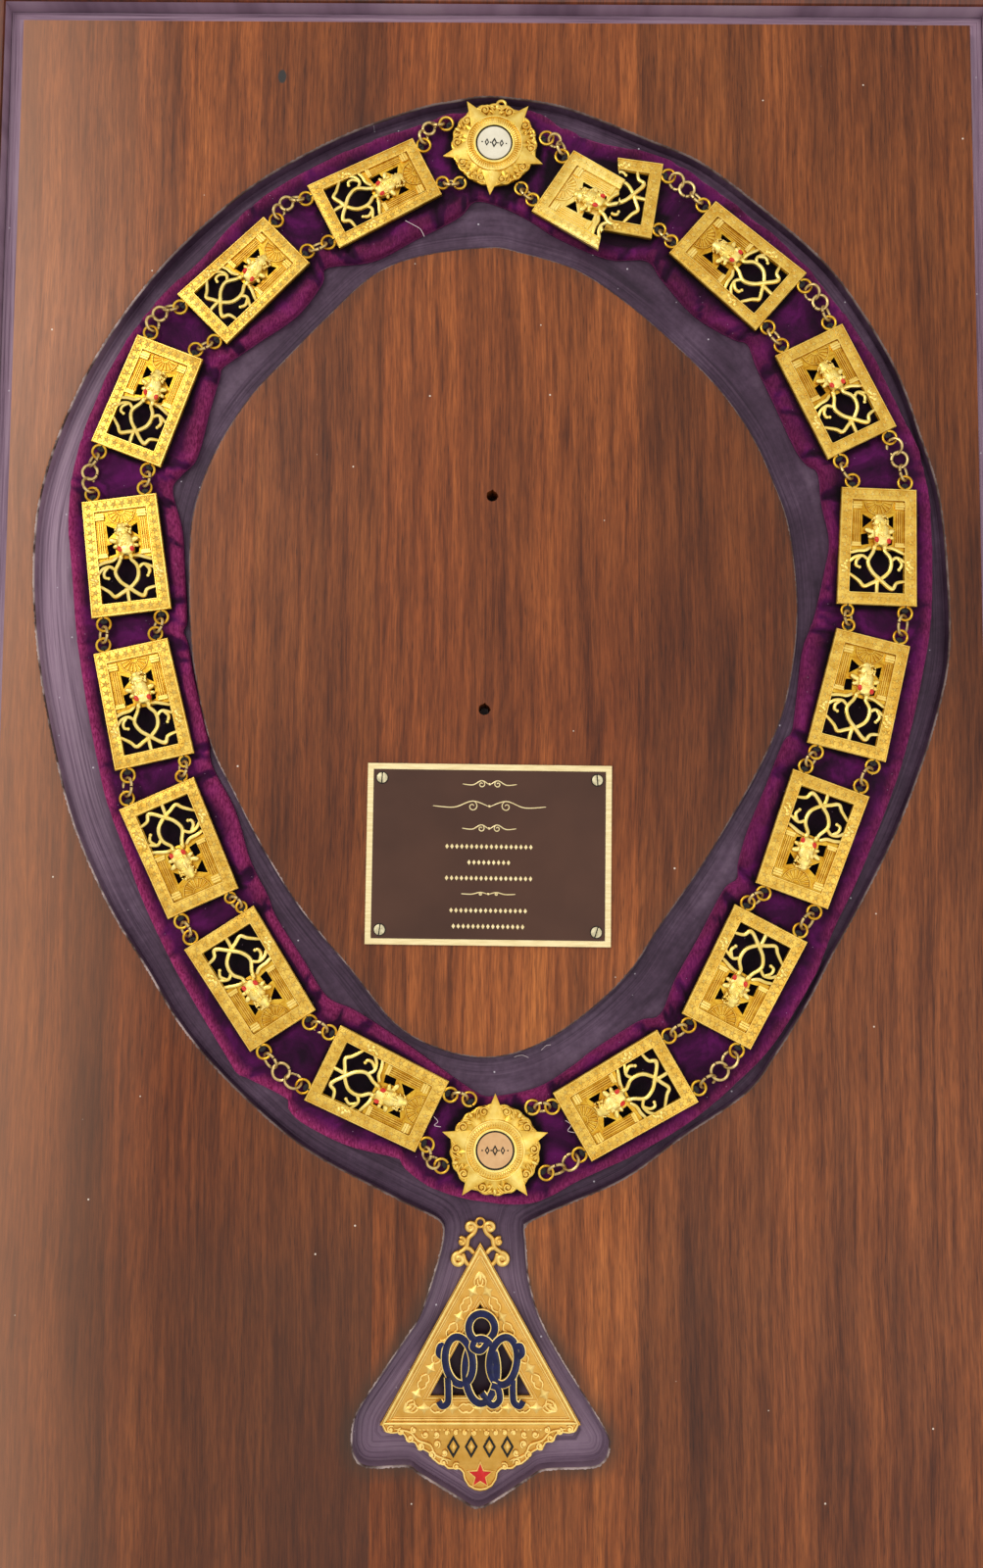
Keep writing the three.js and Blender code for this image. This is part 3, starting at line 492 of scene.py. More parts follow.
def repeated(path, unit, spacing, closed=True, finish=0):
    """A small form repeated along a path by geometry nodes, as a form."""
    path = np.asarray(path, float)
    count = len(path)
    edges = [(i, (i + 1) % count) for i in range(count if closed else count - 1)]
    line = bpy.data.meshes.new("path")
    line.from_pydata([tuple(p) for p in path], edges, [])
    carrier = linked("path", line)
    sample = linked("unit", mesh_of(unit))
    modifier = carrier.modifiers.new("repeat", "NODES")
    modifier.node_group = repeat_tree()
    sockets = {item.name: item.identifier for item in modifier.node_group.interface.items_tree
               if item.in_out == "INPUT"}
    modifier[sockets["Spacing"]] = float(spacing)
    modifier[sockets["Unit"]] = sample
    modifier[sockets["Finish"]] = finish_named("gilt")
    form = form_of(evaluated(carrier), finish)
    bpy.data.objects.remove(sample)
    return form


def piece(name, form, finishes, replaces=(), relief=None, crease=35.0):
    """A finished piece from a form, with its finishes and the nodes it replaces.

    `relief` is the two heights between which a metal goes from its low to its high tone; the
    darker low tone is painted shade in the hollows.
    """
    mesh = mesh_of(form, name)
    mesh.transform(scale_matrix())
    mesh.validate()
    for finish in finishes:
        mesh.materials.append(finish_named(finish))
    mesh.shade_smooth()
    mesh.set_sharp_from_angle(angle=math.radians(crease))
    if relief:
        low, high = relief
        z = np.array([v.co.z / MM for v in mesh.vertices])
        store(mesh, "relief", np.clip((z - low) / (high - low), 0, 1))
    obj = linked(name, mesh)
    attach(obj, "root")
    if replaces:
        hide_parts(*replaces)
    return obj


def scale_matrix():
    return Matrix.Scale(MM, 4)


def store(mesh, name, values):
    layer = mesh.attributes.new(name, "FLOAT", "POINT")
    layer.data.foreach_set("value", np.asarray(values, np.float32))


# ---------------------------------------------------------------- finishes
def tone(red, green, blue):
    """A shader colour from the 0-255 numbers of a paint chart."""
    out = []
    for value in (red, green, blue):
        c = value / 255
        out.append(c / 12.92 if c <= 0.04045 else ((c + 0.055) / 1.055) ** 2.4)
    return (*out, 1.0)


class Finish:
    """One procedural material and the nodes that make it."""

    def __init__(self, name):
        self.material = bpy.data.materials.new(name)
        self.material.use_nodes = True
        self.tree = self.material.node_tree
        self.shader = self.tree.nodes["Principled BSDF"]
        self.place = self.node("ShaderNodeTexCoord").outputs["Object"]

    def node(self, kind, **settings):
        made = self.tree.nodes.new(kind)
        for key, value in settings.items():
            setattr(made, key, value)
        return made

    def join(self, source, target):
        if isinstance(source, (int, float, tuple)):
            target.default_value = source
        else:
            self.tree.links.new(source, target)

    def set(self, **values):
        for key, value in values.items():
            self.join(value, self.shader.inputs[key.replace("_", " ")])

    def stretched(self, x, y, z):
        node = self.node("ShaderNodeMapping")
        self.join(self.place, node.inputs["Vector"])
        node.inputs["Scale"].default_value = (x, y, z)
        return node.outputs["Vector"]

    def noise(self, scale, detail=3.0, rough=0.55, where=None, distortion=0.0):
        node = self.node("ShaderNodeTexNoise")
        self.join(where or self.place, node.inputs["Vector"])
        node.inputs["Scale"].default_value = scale
        node.inputs["Detail"].default_value = detail
        node.inputs["Roughness"].default_value = rough
        node.inputs["Distortion"].default_value = distortion
        return node.outputs["Fac"]

    def cells(self, scale, where=None):
        node = self.node("ShaderNodeTexVoronoi")
        self.join(where or self.place, node.inputs["Vector"])
        node.inputs["Scale"].default_value = scale
        return node.outputs["Distance"]

    def value(self, name):
        return self.node("ShaderNodeAttribute", attribute_name=name).outputs["Fac"]

    def span(self, source, low, high, to_low=0.0, to_high=1.0):
        node = self.node("ShaderNodeMapRange")
        self.join(source, node.inputs["Value"])
        node.inputs["From Min"].default_value = low
        node.inputs["From Max"].default_value = high
        node.inputs["To Min"].default_value = to_low
        node.inputs["To Max"].default_value = to_high
        return node.outputs["Result"]

    def math(self, operation, a, b=0.0):
        node = self.node("ShaderNodeMath", operation=operation)
        self.join(a, node.inputs[0])
        self.join(b, node.inputs[1])
        return node.outputs[0]

    def times(self, a, b):
        return self.math("MULTIPLY", a, b)

    def mix(self, amount, a, b, mode="MIX"):
        node = self.node("ShaderNodeMix", data_type="RGBA", blend_type=mode)
        self.join(amount, node.inputs[0])
        self.join(a, node.inputs[6])
        self.join(b, node.inputs[7])
        return node.outputs[2]

    def tinted(self, colour, tint, amount=1.0):
        return self.mix(amount, colour, tint, "MULTIPLY")

    def ramp(self, source, stops):
        node = self.node("ShaderNodeValToRGB")
        self.join(source, node.inputs["Fac"])
        elements = node.color_ramp.elements
        while len(elements) < len(stops):
            elements.new(0.5)
        for element, (at, colour) in zip(elements, stops):
            element.position = at
            element.color = colour
        return node.outputs["Color"]

    def bump(self, height, depth, strength):
        node = self.node("ShaderNodeBump")
        self.join(height, node.inputs["Height"])
        node.inputs["Distance"].default_value = depth * MM
        node.inputs["Strength"].default_value = strength
        return node.outputs["Normal"]

    def grey(self, source):
        node = self.node("ShaderNodeCombineColor")
        for socket in node.inputs:
            self.join(source, socket)
        return node.outputs[0]

    def vector(self, *parts):
        node = self.node("ShaderNodeCombineXYZ")
        for part, socket in zip(parts, node.inputs):
            self.join(part, socket)
        return node.outputs[0]

    def reach(self, x, y):
        """Distance on the board of two offsets taken together."""
        return self.math("SQRT", self.math("ADD", self.times(x, x), self.times(y, y)))

    def axis(self, name):
        node = self.node("ShaderNodeSeparateXYZ")
        self.join(self.place, node.inputs[0])
        return node.outputs[name]


GRAIN_STRETCH = 0.045
STRIP_START, STRIP_WIDTH = 0.1525, 0.053


def walnut_colour(f):
    """Straight-grained veneer in book-matched strips, as a colour and its grain."""
    sway = f.times(f.noise(3.2, 2), 0.016)
    grain = f.vector(f.math("ADD", f.axis("X"), sway), f.times(f.axis("Y"), GRAIN_STRETCH),
                     f.times(f.axis("Z"), GRAIN_STRETCH))
    broad = f.noise(52, 3, 0.6, grain)
    streak = f.noise(430, 4, 0.68, grain)
    fibre = f.noise(1900, 3, 0.7, grain)
    pores = f.cells(760, f.stretched(1.0, 0.1, 0.1))
    strip = f.math("FLOOR", f.math("DIVIDE", f.math("ADD", f.axis("X"), STRIP_START),
                                   STRIP_WIDTH))
    white = f.node("ShaderNodeTexWhiteNoise", noise_dimensions="1D")
    f.join(strip, white.inputs["W"])
    base = f.ramp(broad, [(0.28, tone(124, 68, 32)), (0.42, tone(156, 90, 44)),
                          (0.56, tone(178, 104, 52)), (0.74, tone(200, 122, 60))])
    lines = f.ramp(streak, [(0.3, tone(124, 92, 70)), (0.45, tone(200, 182, 164)),
                            (0.66, tone(255, 248, 240))])
    base = f.tinted(base, lines, 0.8)
    cast = f.noise(5.5, 2, 0.5, f.stretched(1, 0.6, 1))
    cast = f.ramp(cast, [(0.36, tone(206, 190, 184)), (0.64, tone(255, 252, 248))])
    hairs = f.ramp(fibre, [(0.36, tone(120, 100, 90)), (0.62, tone(255, 250, 244))])
    base = f.tinted(f.tinted(base, cast), hairs, 0.55)
    dark = f.span(pores, 0.06, 0.2, 0.5, 1.0)
    base = f.tinted(base, f.grey(dark))
    warm = f.span(white.outputs["Value"], 0, 1, 0.74, 1.16)
    return f.tinted(base, f.grey(warm)), streak, fibre


def paint_colour(f):
    """Mauve-grey sprayed paint, clouded and scuffed."""
    cloud = f.noise(26, 4, 0.6)
    scuff = f.noise(420, 3, 0.7)
    base = f.ramp(cloud, [(0.3, tone(62, 42, 58)), (0.5, tone(80, 58, 76)),
                          (0.7, tone(104, 82, 100))])
    scuffs = f.ramp(scuff, [(0.35, tone(190, 182, 190)), (0.65, tone(255, 255, 255))])
    return f.tinted(base, scuffs, 0.5)


KNOT_SPOT = (-0.091, 0.2981)
JEWEL_SHADE = (-0.0032, -0.232)


def make_walnut(f):
    """The veneer with a painted lamp reflection toward its left, painted shade toward its right
    and low left of centre, the dark halo of the cut, the worn rim, a knot and dust.
    """
    wood, streak, fibre = walnut_colour(f)
    edge = f.value("edge_distance")
    ragged = f.math("ADD", edge, f.times(f.noise(900, 2), 1.1))
    # Paler toward the left edge: a painted reflection of the lamp in the coat.
    painted_lamp_reflection = f.span(f.axis("X"), -0.13, -0.215, 0, 0.34)
    wood = f.mix(painted_lamp_reflection, wood, tone(214, 160, 128))
    # Darker toward the right edge: painted shade, away from the key light.
    wood = f.tinted(wood, f.grey(f.span(f.axis("X"), 0.09, 0.215, 1.0, 0.66)))
    shaded = f.times(f.math("LESS_THAN", f.axis("X"), -0.0465),
                    f.times(f.span(f.axis("X"), -0.185, -0.13),
                           f.span(f.axis("Y"), -0.12, -0.2)))
    wood = f.mix(f.times(shaded, 0.42), wood, tone(66, 40, 30))
    halo = f.span(edge, 0.6, 9, 1.0, 0.0)
    pocket = f.span(f.axis("Y"), -0.172, -0.2, 0.28, 0.92)
    shade = f.times(halo, pocket)
    shade = f.times(shade, f.span(f.noise(60, 3), 0.3, 0.6, 0.65, 1.0))
    wood = f.mix(f.times(shade, 0.92), wood, tone(64, 46, 34))
    on_edge = f.span(ragged, 1.25, 1.05)
    island_worn = f.times(f.span(f.axis("X"), -0.02, -0.09),
                         f.times(f.span(f.axis("Y"), 0.06, 0.0),
                                f.span(f.axis("Y"), -0.13, -0.1)))
    worn_side = f.math("MAXIMUM", f.span(f.axis("X"), -0.13, -0.15), island_worn)
    wear_and_light = f.times(f.span(f.noise(120, 3), 0.42, 0.6),
                  f.math("MAXIMUM", worn_side, pocket))
    rim = f.mix(wear_and_light, tone(70, 50, 44), tone(176, 156, 152))
    colour = f.mix(on_edge, wood, rim)
    knot = f.reach(f.times(f.math("SUBTRACT", f.axis("X"), KNOT_SPOT[0]), 1.7),
                   f.math("SUBTRACT", f.axis("Y"), KNOT_SPOT[1]))
    colour = f.mix(f.span(knot, 0.0033, 0.0026), colour, tone(50, 46, 44))
    dust = f.span(f.cells(58, f.stretched(1, 1, 0)), 0.026, 0.018)
    colour = f.mix(dust, colour, tone(214, 198, 180))
    f.set(Base_Color=colour, Roughness=f.span(streak, 0.2, 0.8, 0.5, 0.36),
          Normal=f.bump(fibre, 0.05, 0.5), Specular_IOR_Level=0.22, Coat_Weight=0.06,
          Coat_Roughness=0.3)


def make_paint(f):
    """The recess: paint over router marks that follow the cut."""
    colour = paint_colour(f)
    # Paler toward the left wall: painted light, as on the veneer; paler also low in the jewel
    # pocket and on the rebate.
    pale = f.math("MAXIMUM", f.span(f.axis("X"), -0.15, -0.185, 0, 0.72),
                  f.span(f.axis("Y"), -0.175, -0.2, 0, 0.3))
    for name, size in (("X", FIELD[0]), ("Y", FIELD[1])):
        rebate = f.math("GREATER_THAN", f.math("ABSOLUTE", f.axis(name)), size / 2 * MM)
        pale = f.math("MAXIMUM", pale, f.times(rebate, 0.8))
    colour = f.mix(pale, colour, tone(176, 148, 164))
    track = f.vector(f.value("edge_distance"), f.times(f.axis("X"), 14),
                     f.times(f.axis("Y"), 14))
    marks = f.noise(1.15, 4, 0.7, track)
    colour = f.tinted(colour, f.ramp(marks, [(0.34, tone(176, 166, 178)),
                                             (0.5, tone(232, 226, 234)),
                                             (0.62, tone(255, 255, 255))]))
    behind = f.reach(f.math("SUBTRACT", f.axis("X"), JEWEL_SHADE[0]),
                     f.math("SUBTRACT", f.axis("Y"), JEWEL_SHADE[1]))
    colour = f.mix(f.span(behind, 0.028, 0.019), colour, tone(34, 16, 30))
    speck = f.span(f.cells(120, f.stretched(1, 1, 0)), 0.055, 0.03)
    colour = f.mix(f.times(speck, 0.8), colour, tone(206, 196, 204))
    f.set(Base_Color=colour, Roughness=f.span(marks, 0.3, 0.7, 0.62, 0.46),
          Normal=f.bump(marks, 0.25, 0.5), Specular_IOR_Level=0.22)


def make_frame_wood(f):
    wood, streak, fibre = walnut_colour(f)
    colour = f.tinted(wood, tone(205, 180, 160))
    f.set(Base_Color=colour, Roughness=f.span(streak, 0.2, 0.8, 0.45, 0.32),
          Normal=f.bump(fibre, 0.05, 0.5), Coat_Weight=0.3)


def make_gilt(f):
    relief = f.value("relief")
    tarnish = f.noise(240, 4, 0.6)
    grain = f.noise(3600, 2, 0.6)
    punched = f.cells(1500)
    high = f.mix(f.span(tarnish, 0.35, 0.65), tone(246, 212, 104), tone(255, 230, 142))
    low = f.mix(f.span(tarnish, 0.4, 0.62), tone(200, 144, 34), tone(226, 182, 62))
    # Darker and browner low down, brighter on raised work: painted shade in the hollows.
    colour = f.mix(f.span(relief, 0.15, 0.8), low, high)
    normal = f.bump(f.math("ADD", f.times(punched, 0.7), grain), 0.07, 0.55)
    f.set(Base_Color=colour, Roughness=f.span(tarnish, 0.3, 0.7, 0.3, 0.42), Normal=normal,
          Metallic=0.92)


def make_satin_gilt(f):
    """Softer, slightly pink gilding of the jewel and the lower medallion."""
    relief = f.value("relief")
    tarnish = f.noise(180, 4, 0.6)
    high = f.mix(f.span(tarnish, 0.35, 0.65), tone(244, 204, 112), tone(253, 224, 140))
    low = f.mix(f.span(tarnish, 0.35, 0.65), tone(206, 152, 62), tone(222, 172, 84))
    # Darker and browner low down, brighter on raised work: painted shade in the hollows.
    colour = f.mix(f.span(relief, 0.2, 0.85), low, high)
    f.set(Base_Color=colour, Roughness=f.span(tarnish, 0.3, 0.7, 0.34, 0.46),
          Normal=f.bump(f.noise(2600, 3, 0.6), 0.05, 0.5), Metallic=0.9)


def make_ring_wire(f):
    age = f.noise(420, 3, 0.6)
    colour = f.mix(f.span(age, 0.35, 0.65), tone(188, 156, 96), tone(234, 206, 138))
    f.set(Base_Color=colour, Roughness=f.span(age, 0.3, 0.7, 0.28, 0.46),
          Normal=f.bump(f.noise(2400, 2), 0.03, 0.5), Metallic=0.92)


def make_velvet(f):
    """Deep violet pile, paler and pinker on its rolled edges and high tops, from painted
    highlight and wear, more toward the left where the light falls, and darkened by painted shadow
    under the plates and in the tucks.
    """
    crush = f.noise(60, 4, 0.65, distortion=0.6)
    pile = f.noise(3400, 2, 0.7)
    rib = f.noise(1500, 2, 0.6, f.stretched(1, 0.3, 1))
    # Painted highlight and wear where high, painted shadow where below zero.
    wear_and_light = f.value("pile_light_and_wear")
    deep = f.ramp(crush, [(0.32, tone(30, 2, 28)), (0.5, tone(60, 4, 54)),
                          (0.68, tone(96, 14, 86))])
    bright = f.ramp(rib, [(0.35, tone(124, 18, 70)), (0.65, tone(190, 66, 124))])
    # Pale pink stronger toward the left: painted light from the key lamp.
    colour = f.mix(f.times(wear_and_light, f.span(f.axis("X"), -0.08, 0.08, 1, 0.5)), deep,
                   bright)
    # Darkened where the value is below zero: painted shadow under the plates and in the tucks.
    colour = f.tinted(colour, f.grey(f.span(wear_and_light, -1, 0, 0.1, 1)))
    shade = f.ramp(pile, [(0.3, tone(110, 90, 110)), (0.7, tone(255, 240, 255))])
    colour = f.tinted(colour, shade, 0.35)
    fluff = f.span(f.cells(260), 0.05, 0.03)
    colour = f.mix(f.times(fluff, 0.5), colour, tone(206, 170, 196))
    nap = f.math("ADD", pile, f.times(rib, 0.6))
    f.set(Base_Color=colour, Normal=f.bump(nap, 0.3, 0.7), Roughness=0.9, Sheen_Weight=0.45,
          Sheen_Roughness=0.35, Sheen_Tint=tone(226, 96, 176), Specular_IOR_Level=0.2)


def make_enamel(deep, pale, scale=300, roughness=0.16):
    """A glassy finish that clouds between two colours."""
    def build(f):
        cloud = f.noise(scale, 3, 0.6)
        f.set(Base_Color=f.mix(f.span(cloud, 0.3, 0.7), tone(*deep), tone(*pale)),
              Normal=f.bump(f.noise(900, 2), 0.02, 0.4), Roughness=roughness,
              Specular_IOR_Level=0.25)
    return build


def make_name_plate(f):
    brushed = f.noise(900, 3, 0.6, f.stretched(0.05, 1, 1))
    cloud = f.noise(30, 3)
    colour = f.mix(f.span(cloud, 0.3, 0.7), tone(66, 38, 25), tone(79, 48, 33))
    f.set(Base_Color=colour, Roughness=f.span(brushed, 0.3, 0.7, 0.3, 0.42),
          Normal=f.bump(brushed, 0.02, 0.4), Specular_IOR_Level=0.3, Metallic=0.1)


def make_name_border(f):
    brushed = f.noise(1400, 3, 0.6, f.stretched(0.1, 1, 1))
    colour = f.mix(f.span(brushed, 0.3, 0.7), tone(226, 202, 146), tone(246, 228, 176))
    f.set(Base_Color=colour, Roughness=f.span(brushed, 0.3, 0.7, 0.32, 0.44),
          Normal=f.bump(brushed, 0.02, 0.4), Metallic=0.85)


def make_screw(f):
    age = f.noise(600, 3)
    f.set(Base_Color=f.mix(f.span(age, 0.35, 0.65), tone(176, 164, 128), tone(222, 210, 172)),
          Roughness=f.span(age, 0.3, 0.7, 0.35, 0.55), Metallic=0.9)


def make_thread(f):
    twist = f.noise(2600, 2, 0.6, f.stretched(1, 1, 2))
    f.set(Base_Color=f.mix(twist, tone(10, 8, 8), tone(34, 28, 26)),
          Normal=f.bump(twist, 0.1, 0.7), Roughness=0.75)


def make_lint(f):
    fuzz = f.noise(2200, 2)
    f.set(Base_Color=f.mix(fuzz, tone(196, 168, 176), tone(232, 216, 214)), Roughness=0.9)


def make_floor(f):
    f.set(Base_Color=f.mix(f.noise(6, 2), tone(214, 210, 204), tone(222, 219, 214)),
          Roughness=0.8)


FINISHES = {
    "walnut": make_walnut,
    "recess_paint": make_paint,
    "frame_wood": make_frame_wood,
    "gilt": make_gilt,
    "satin_gilt": make_satin_gilt,
    "ring_wire": make_ring_wire,
    "velvet": make_velvet,
    "blue_enamel": make_enamel((8, 12, 46), (22, 26, 74)),
    "red_enamel": make_enamel((176, 16, 20), (214, 40, 34)),
    "eye_stone": make_enamel((196, 28, 24), (226, 74, 54), 900, 0.12),
    "cream_enamel": make_enamel((214, 204, 178), (230, 222, 200), 120, 0.3),
    "rose_gilt": make_enamel((206, 158, 108), (224, 180, 128), 160, 0.32),
    # Black enamel on the medallions and the jewel; under the name plate's screws it is painted
    # shadow.
    "black_enamel_and_shadow": make_enamel((14, 12, 10), (30, 26, 22), 300, 0.3),
    "name_plate": make_name_plate,
    "name_border": make_name_border,
    "screw": make_screw,
    "thread": make_thread,
    "lint": make_lint,
    "floor": make_floor,
}


def finish_named(name):
    """The finish of that name, made the first time that a piece needs it."""
    label = f"{name}_finish"
    if label not in bpy.data.materials:
        FINISHES[name](Finish(label))
    return bpy.data.materials[label]


# ---------------------------------------------------------------- board, frame, name plate
def gap_to(points, loop):
    """How far each point is from a closed line."""
    step = np.roll(loop, -1, 0) - loop
    length = (step * step).sum(1)
    out = np.empty(len(points))
    for start in range(0, len(points), 300):
        p = points[start:start + 300, None]
        t = np.clip(((p - loop) * step).sum(2) / length, 0, 1)
        near = loop + t[..., None] * step
        out[start:start + 300] = np.linalg.norm(p - near, axis=2).min(1)
    return out


def offset_loop(loop, distance):
    """A closed counter-clockwise line moved outward, with its crossings left out."""
    along = unit_rows(np.roll(loop, -1, 0) - np.roll(loop, 1, 0))
    moved = loop + np.column_stack([along[:, 1], -along[:, 0]]) * distance
    return moved[gap_to(moved, loop) > abs(distance) * 0.985]


def rectangle(width, height):
    a, b = width / 2, height / 2
    return np.array([(-a, -b), (a, -b), (a, b), (-a, b)])


VENEER, PAINTED = 0, 1
CUT_SPACING = 1.7
LIP_STEPS = [(0.12, 0.35), (0.35, 0.12), (0.8, 0.0), (1.6, 0.0), (3.4, 0.0), (7.0, 0.0)]
BROW_DROP = 0.7
PLAIN_DISTANCE = 9
HOLE_FLOOR = 8


class Cut:
    """Builds the board from level loops: flat fills between them and walls below them."""

    def __init__(self):
        self.bm = bmesh.new()
        self.distance = self.bm.verts.layers.float.new("edge_distance")

    def loop(self, points, z, distance):
        verts = [self.bm.verts.new((x, y, z)) for x, y in points]
        for vert in verts:
            vert[self.distance] = distance
        edges = [self.bm.edges.new((verts[i - 1], verts[i])) for i in range(len(verts))]
        return verts, edges

    def fill(self, *loops, finish=VENEER):
        edges = [edge for _, ring in loops for edge in ring]
        made = bmesh.ops.triangle_fill(self.bm, use_beauty=True, edges=edges, normal=(0, 0, 1))
        for item in made["geom"]:
            if isinstance(item, bmesh.types.BMFace):
                item.material_index = finish

    def wall(self, high, low, finish=VENEER):
        top, bottom = high[0], low[0]
        for i in range(len(top)):
            face = self.bm.faces.new((top[i - 1], top[i], bottom[i], bottom[i - 1]))
            face.material_index = finish

    def rounded_edge(self, edge, outward):
        """The wall of a cut with its worn lip; gives the wall's foot and the last loop."""
        foot = self.loop(edge, RECESS_FLOOR, 0.0)
        last = self.loop(edge, BOARD_TOP - BROW_DROP, 0.0)
        self.wall(last, foot, PAINTED)
        for reach, drop in LIP_STEPS:
            ring = self.loop(offset_loop(edge, outward * reach), BOARD_TOP - drop, reach)
            self.fill(last, ring)
            last = ring
        return foot, last

    def floor_steps(self, edge, foot, inward, reaches):
        """The painted floor beside a wall, in strips; gives the last loop."""
        for reach in reaches:
            ring = self.loop(offset_loop(edge, inward * reach), RECESS_FLOOR, reach)
            self.fill(foot, ring, finish=PAINTED)
            foot = ring
        return foot


def board_mesh():
    """The board in millimetres: recess, island, screw holes and the rebate at its rim."""
    cut = Cut()
    recess = evenly(smooth_path(RECESS_EDGE, 6), CUT_SPACING)
    island = evenly(smooth_path(ISLAND_EDGE, 6), CUT_SPACING)
    outer_foot, field_ring = cut.rounded_edge(recess, 1)
    inner_foot, island_ring = cut.rounded_edge(island, -1)
    lip = cut.loop(rectangle(*FIELD), BOARD_TOP, PLAIN_DISTANCE)
    cut.fill(field_ring, lip)
    holes = []
    for x, y in SCREW_HOLES:
        ragged = circle(x, y, 2.4, 18) + np.random.default_rng(3).normal(0, 0.16, (18, 2))
        rim = cut.loop(ragged, BOARD_TOP, PLAIN_DISTANCE)
        depth = cut.loop(circle(x, y, 1.9, 18), HOLE_FLOOR, 0)
        cut.wall(rim, depth)
        cut.fill(depth)
        holes.append(rim)
    cut.fill(island_ring, *holes)
    outer = cut.floor_steps(recess, outer_foot, -1, (1.5, 3, 5, 8, 12))
    inner = cut.floor_steps(island, inner_foot, 1, (1.5, 3, 5, 8))
    cut.fill(outer, inner, finish=PAINTED)
    full = (FIELD[0] + 2 * REBATE_WIDTH, FIELD[1] + 2 * REBATE_WIDTH)
    rebate_in = cut.loop(rectangle(*FIELD), RECESS_FLOOR, 0)
    rebate_out = cut.loop(rectangle(*full), RECESS_FLOOR, REBATE_WIDTH)
    under = cut.loop(rectangle(*full), 0, 0)
    cut.wall(lip, rebate_in)
    cut.fill(rebate_in, rebate_out, finish=PAINTED)
    cut.wall(rebate_out, under)
    cut.fill(under)
    bmesh.ops.recalc_face_normals(cut.bm, faces=cut.bm.faces)
    mesh = bpy.data.meshes.new("board")
    cut.bm.to_mesh(mesh)
    cut.bm.free()
    return mesh


FRAME_PROFILE = [(0, 0), (0, 20.2), (0.5, 21.1), (1.5, 21.5), (9.6, 21.5), (11.2, 21),
                 (12, 19.6), (12, 0)]
RAIL_CLEARANCE = 0.4


def frame_form():
    """Four mitred rails, their inner walls painted like the rebate."""
    form = Form()
    width = FIELD[0] / 2 + REBATE_WIDTH + RAIL_CLEARANCE
    length = FIELD[1] / 2 + REBATE_WIDTH + RAIL_CLEARANCE
    ends = [[(sx * (width + d), sy * (length + d), z) for d, z in FRAME_PROFILE]
            for sx, sy in ((-1, -1), (1, -1), (1, 1), (-1, 1))]
    count = len(FRAME_PROFILE)
    faces = [(i, (i + 1) % count, count + (i + 1) % count, count + i) for i in range(count)]
    faces += [tuple(range(count)), tuple(reversed(range(count, 2 * count)))]
    for side in range(4):
        form.add([*ends[side], *ends[(side + 1) % 4]], faces)
        form.finish[-len(faces)] = 1
    return form


NAME_CENTRE = (-1.2, -31.3, -0.4)
NAME_SIZE = (99.5, 73.5)
NAME_TOP = 20.5
PLATE_FACE, PLATE_BORDER, PLATE_SCREW, PLATE_SCREW_SHADOW = range(4)
# Ornament that stands in for words: height on the plate, width and, for pen work, depth.
PEN_ROWS = [(28.6, 22, 3.2), (19.6, 46, 4.6), (10.6, 22, 3.2), (-15.9, 22, 1.4)]
LOZENGE_ROWS = [(3.2, 34), (-3.2, 16), (-9.6, 34), (-22.6, 30), (-29, 28)]
LOZENGE_PITCH = 1.95
# Each screw: the corner it holds and the turn of its slot.
NAME_SCREWS = [(-1, 1, 86), (1, 1, 94), (-1, -1, 82), (1, -1, 72)]
SCREW_INSET = 6


def screw_form(x, y, turn):
    """A slotted round head: two lands with the slot between them, over a black disc that is
    painted shadow in the slot and round the head.
    """
    form = Form()
    land = circle(0, 0, 2.0, 28)
    for side in (1, -1):
        half = [(px, py) for px, py in land if py * side > 0.42]
        half.sort(key=lambda p: p[0])
        half = [(-1.92, 0.4 * side), *half, (1.92, 0.4 * side)]
        form.add(*slab(half, 0, 0.72, soft=0.2, steps=2))
    # Black disc under the head: painted shadow in the slot and round the head.
    form.add(*slab(circle(0, 0, 2.45, 24), 0, 0.16, soft=0.05), 1)
    return Form().add_form(form, placed(x, y, NAME_TOP, turn))


def flourish(width, height):
    """A pair of mirrored pen scrolls that meet at a bead."""
    form = Form()
    half = width / 2
    for side in (1, -1):
        stem = smooth_path([(0.5, 0), (half * 0.3, height * 0.45), (half * 0.62, -height * 0.1),
                            (half, 0.0)], 6, closed=False)
        curl = spiral(half * 0.3, -height * 0.02, height * 0.5, 90, 1.2, 16)
        for path in (stem, curl):
            line = lifted(path * (side, 1), 0.04)
            form.add(*tube(line, tapered(len(line), 0.22), 6, flat=0.4))
    form.add(*blob((0, 0, 0.03), (0.5, 0.5, 0.12), rings=4, segments=8))
    return form


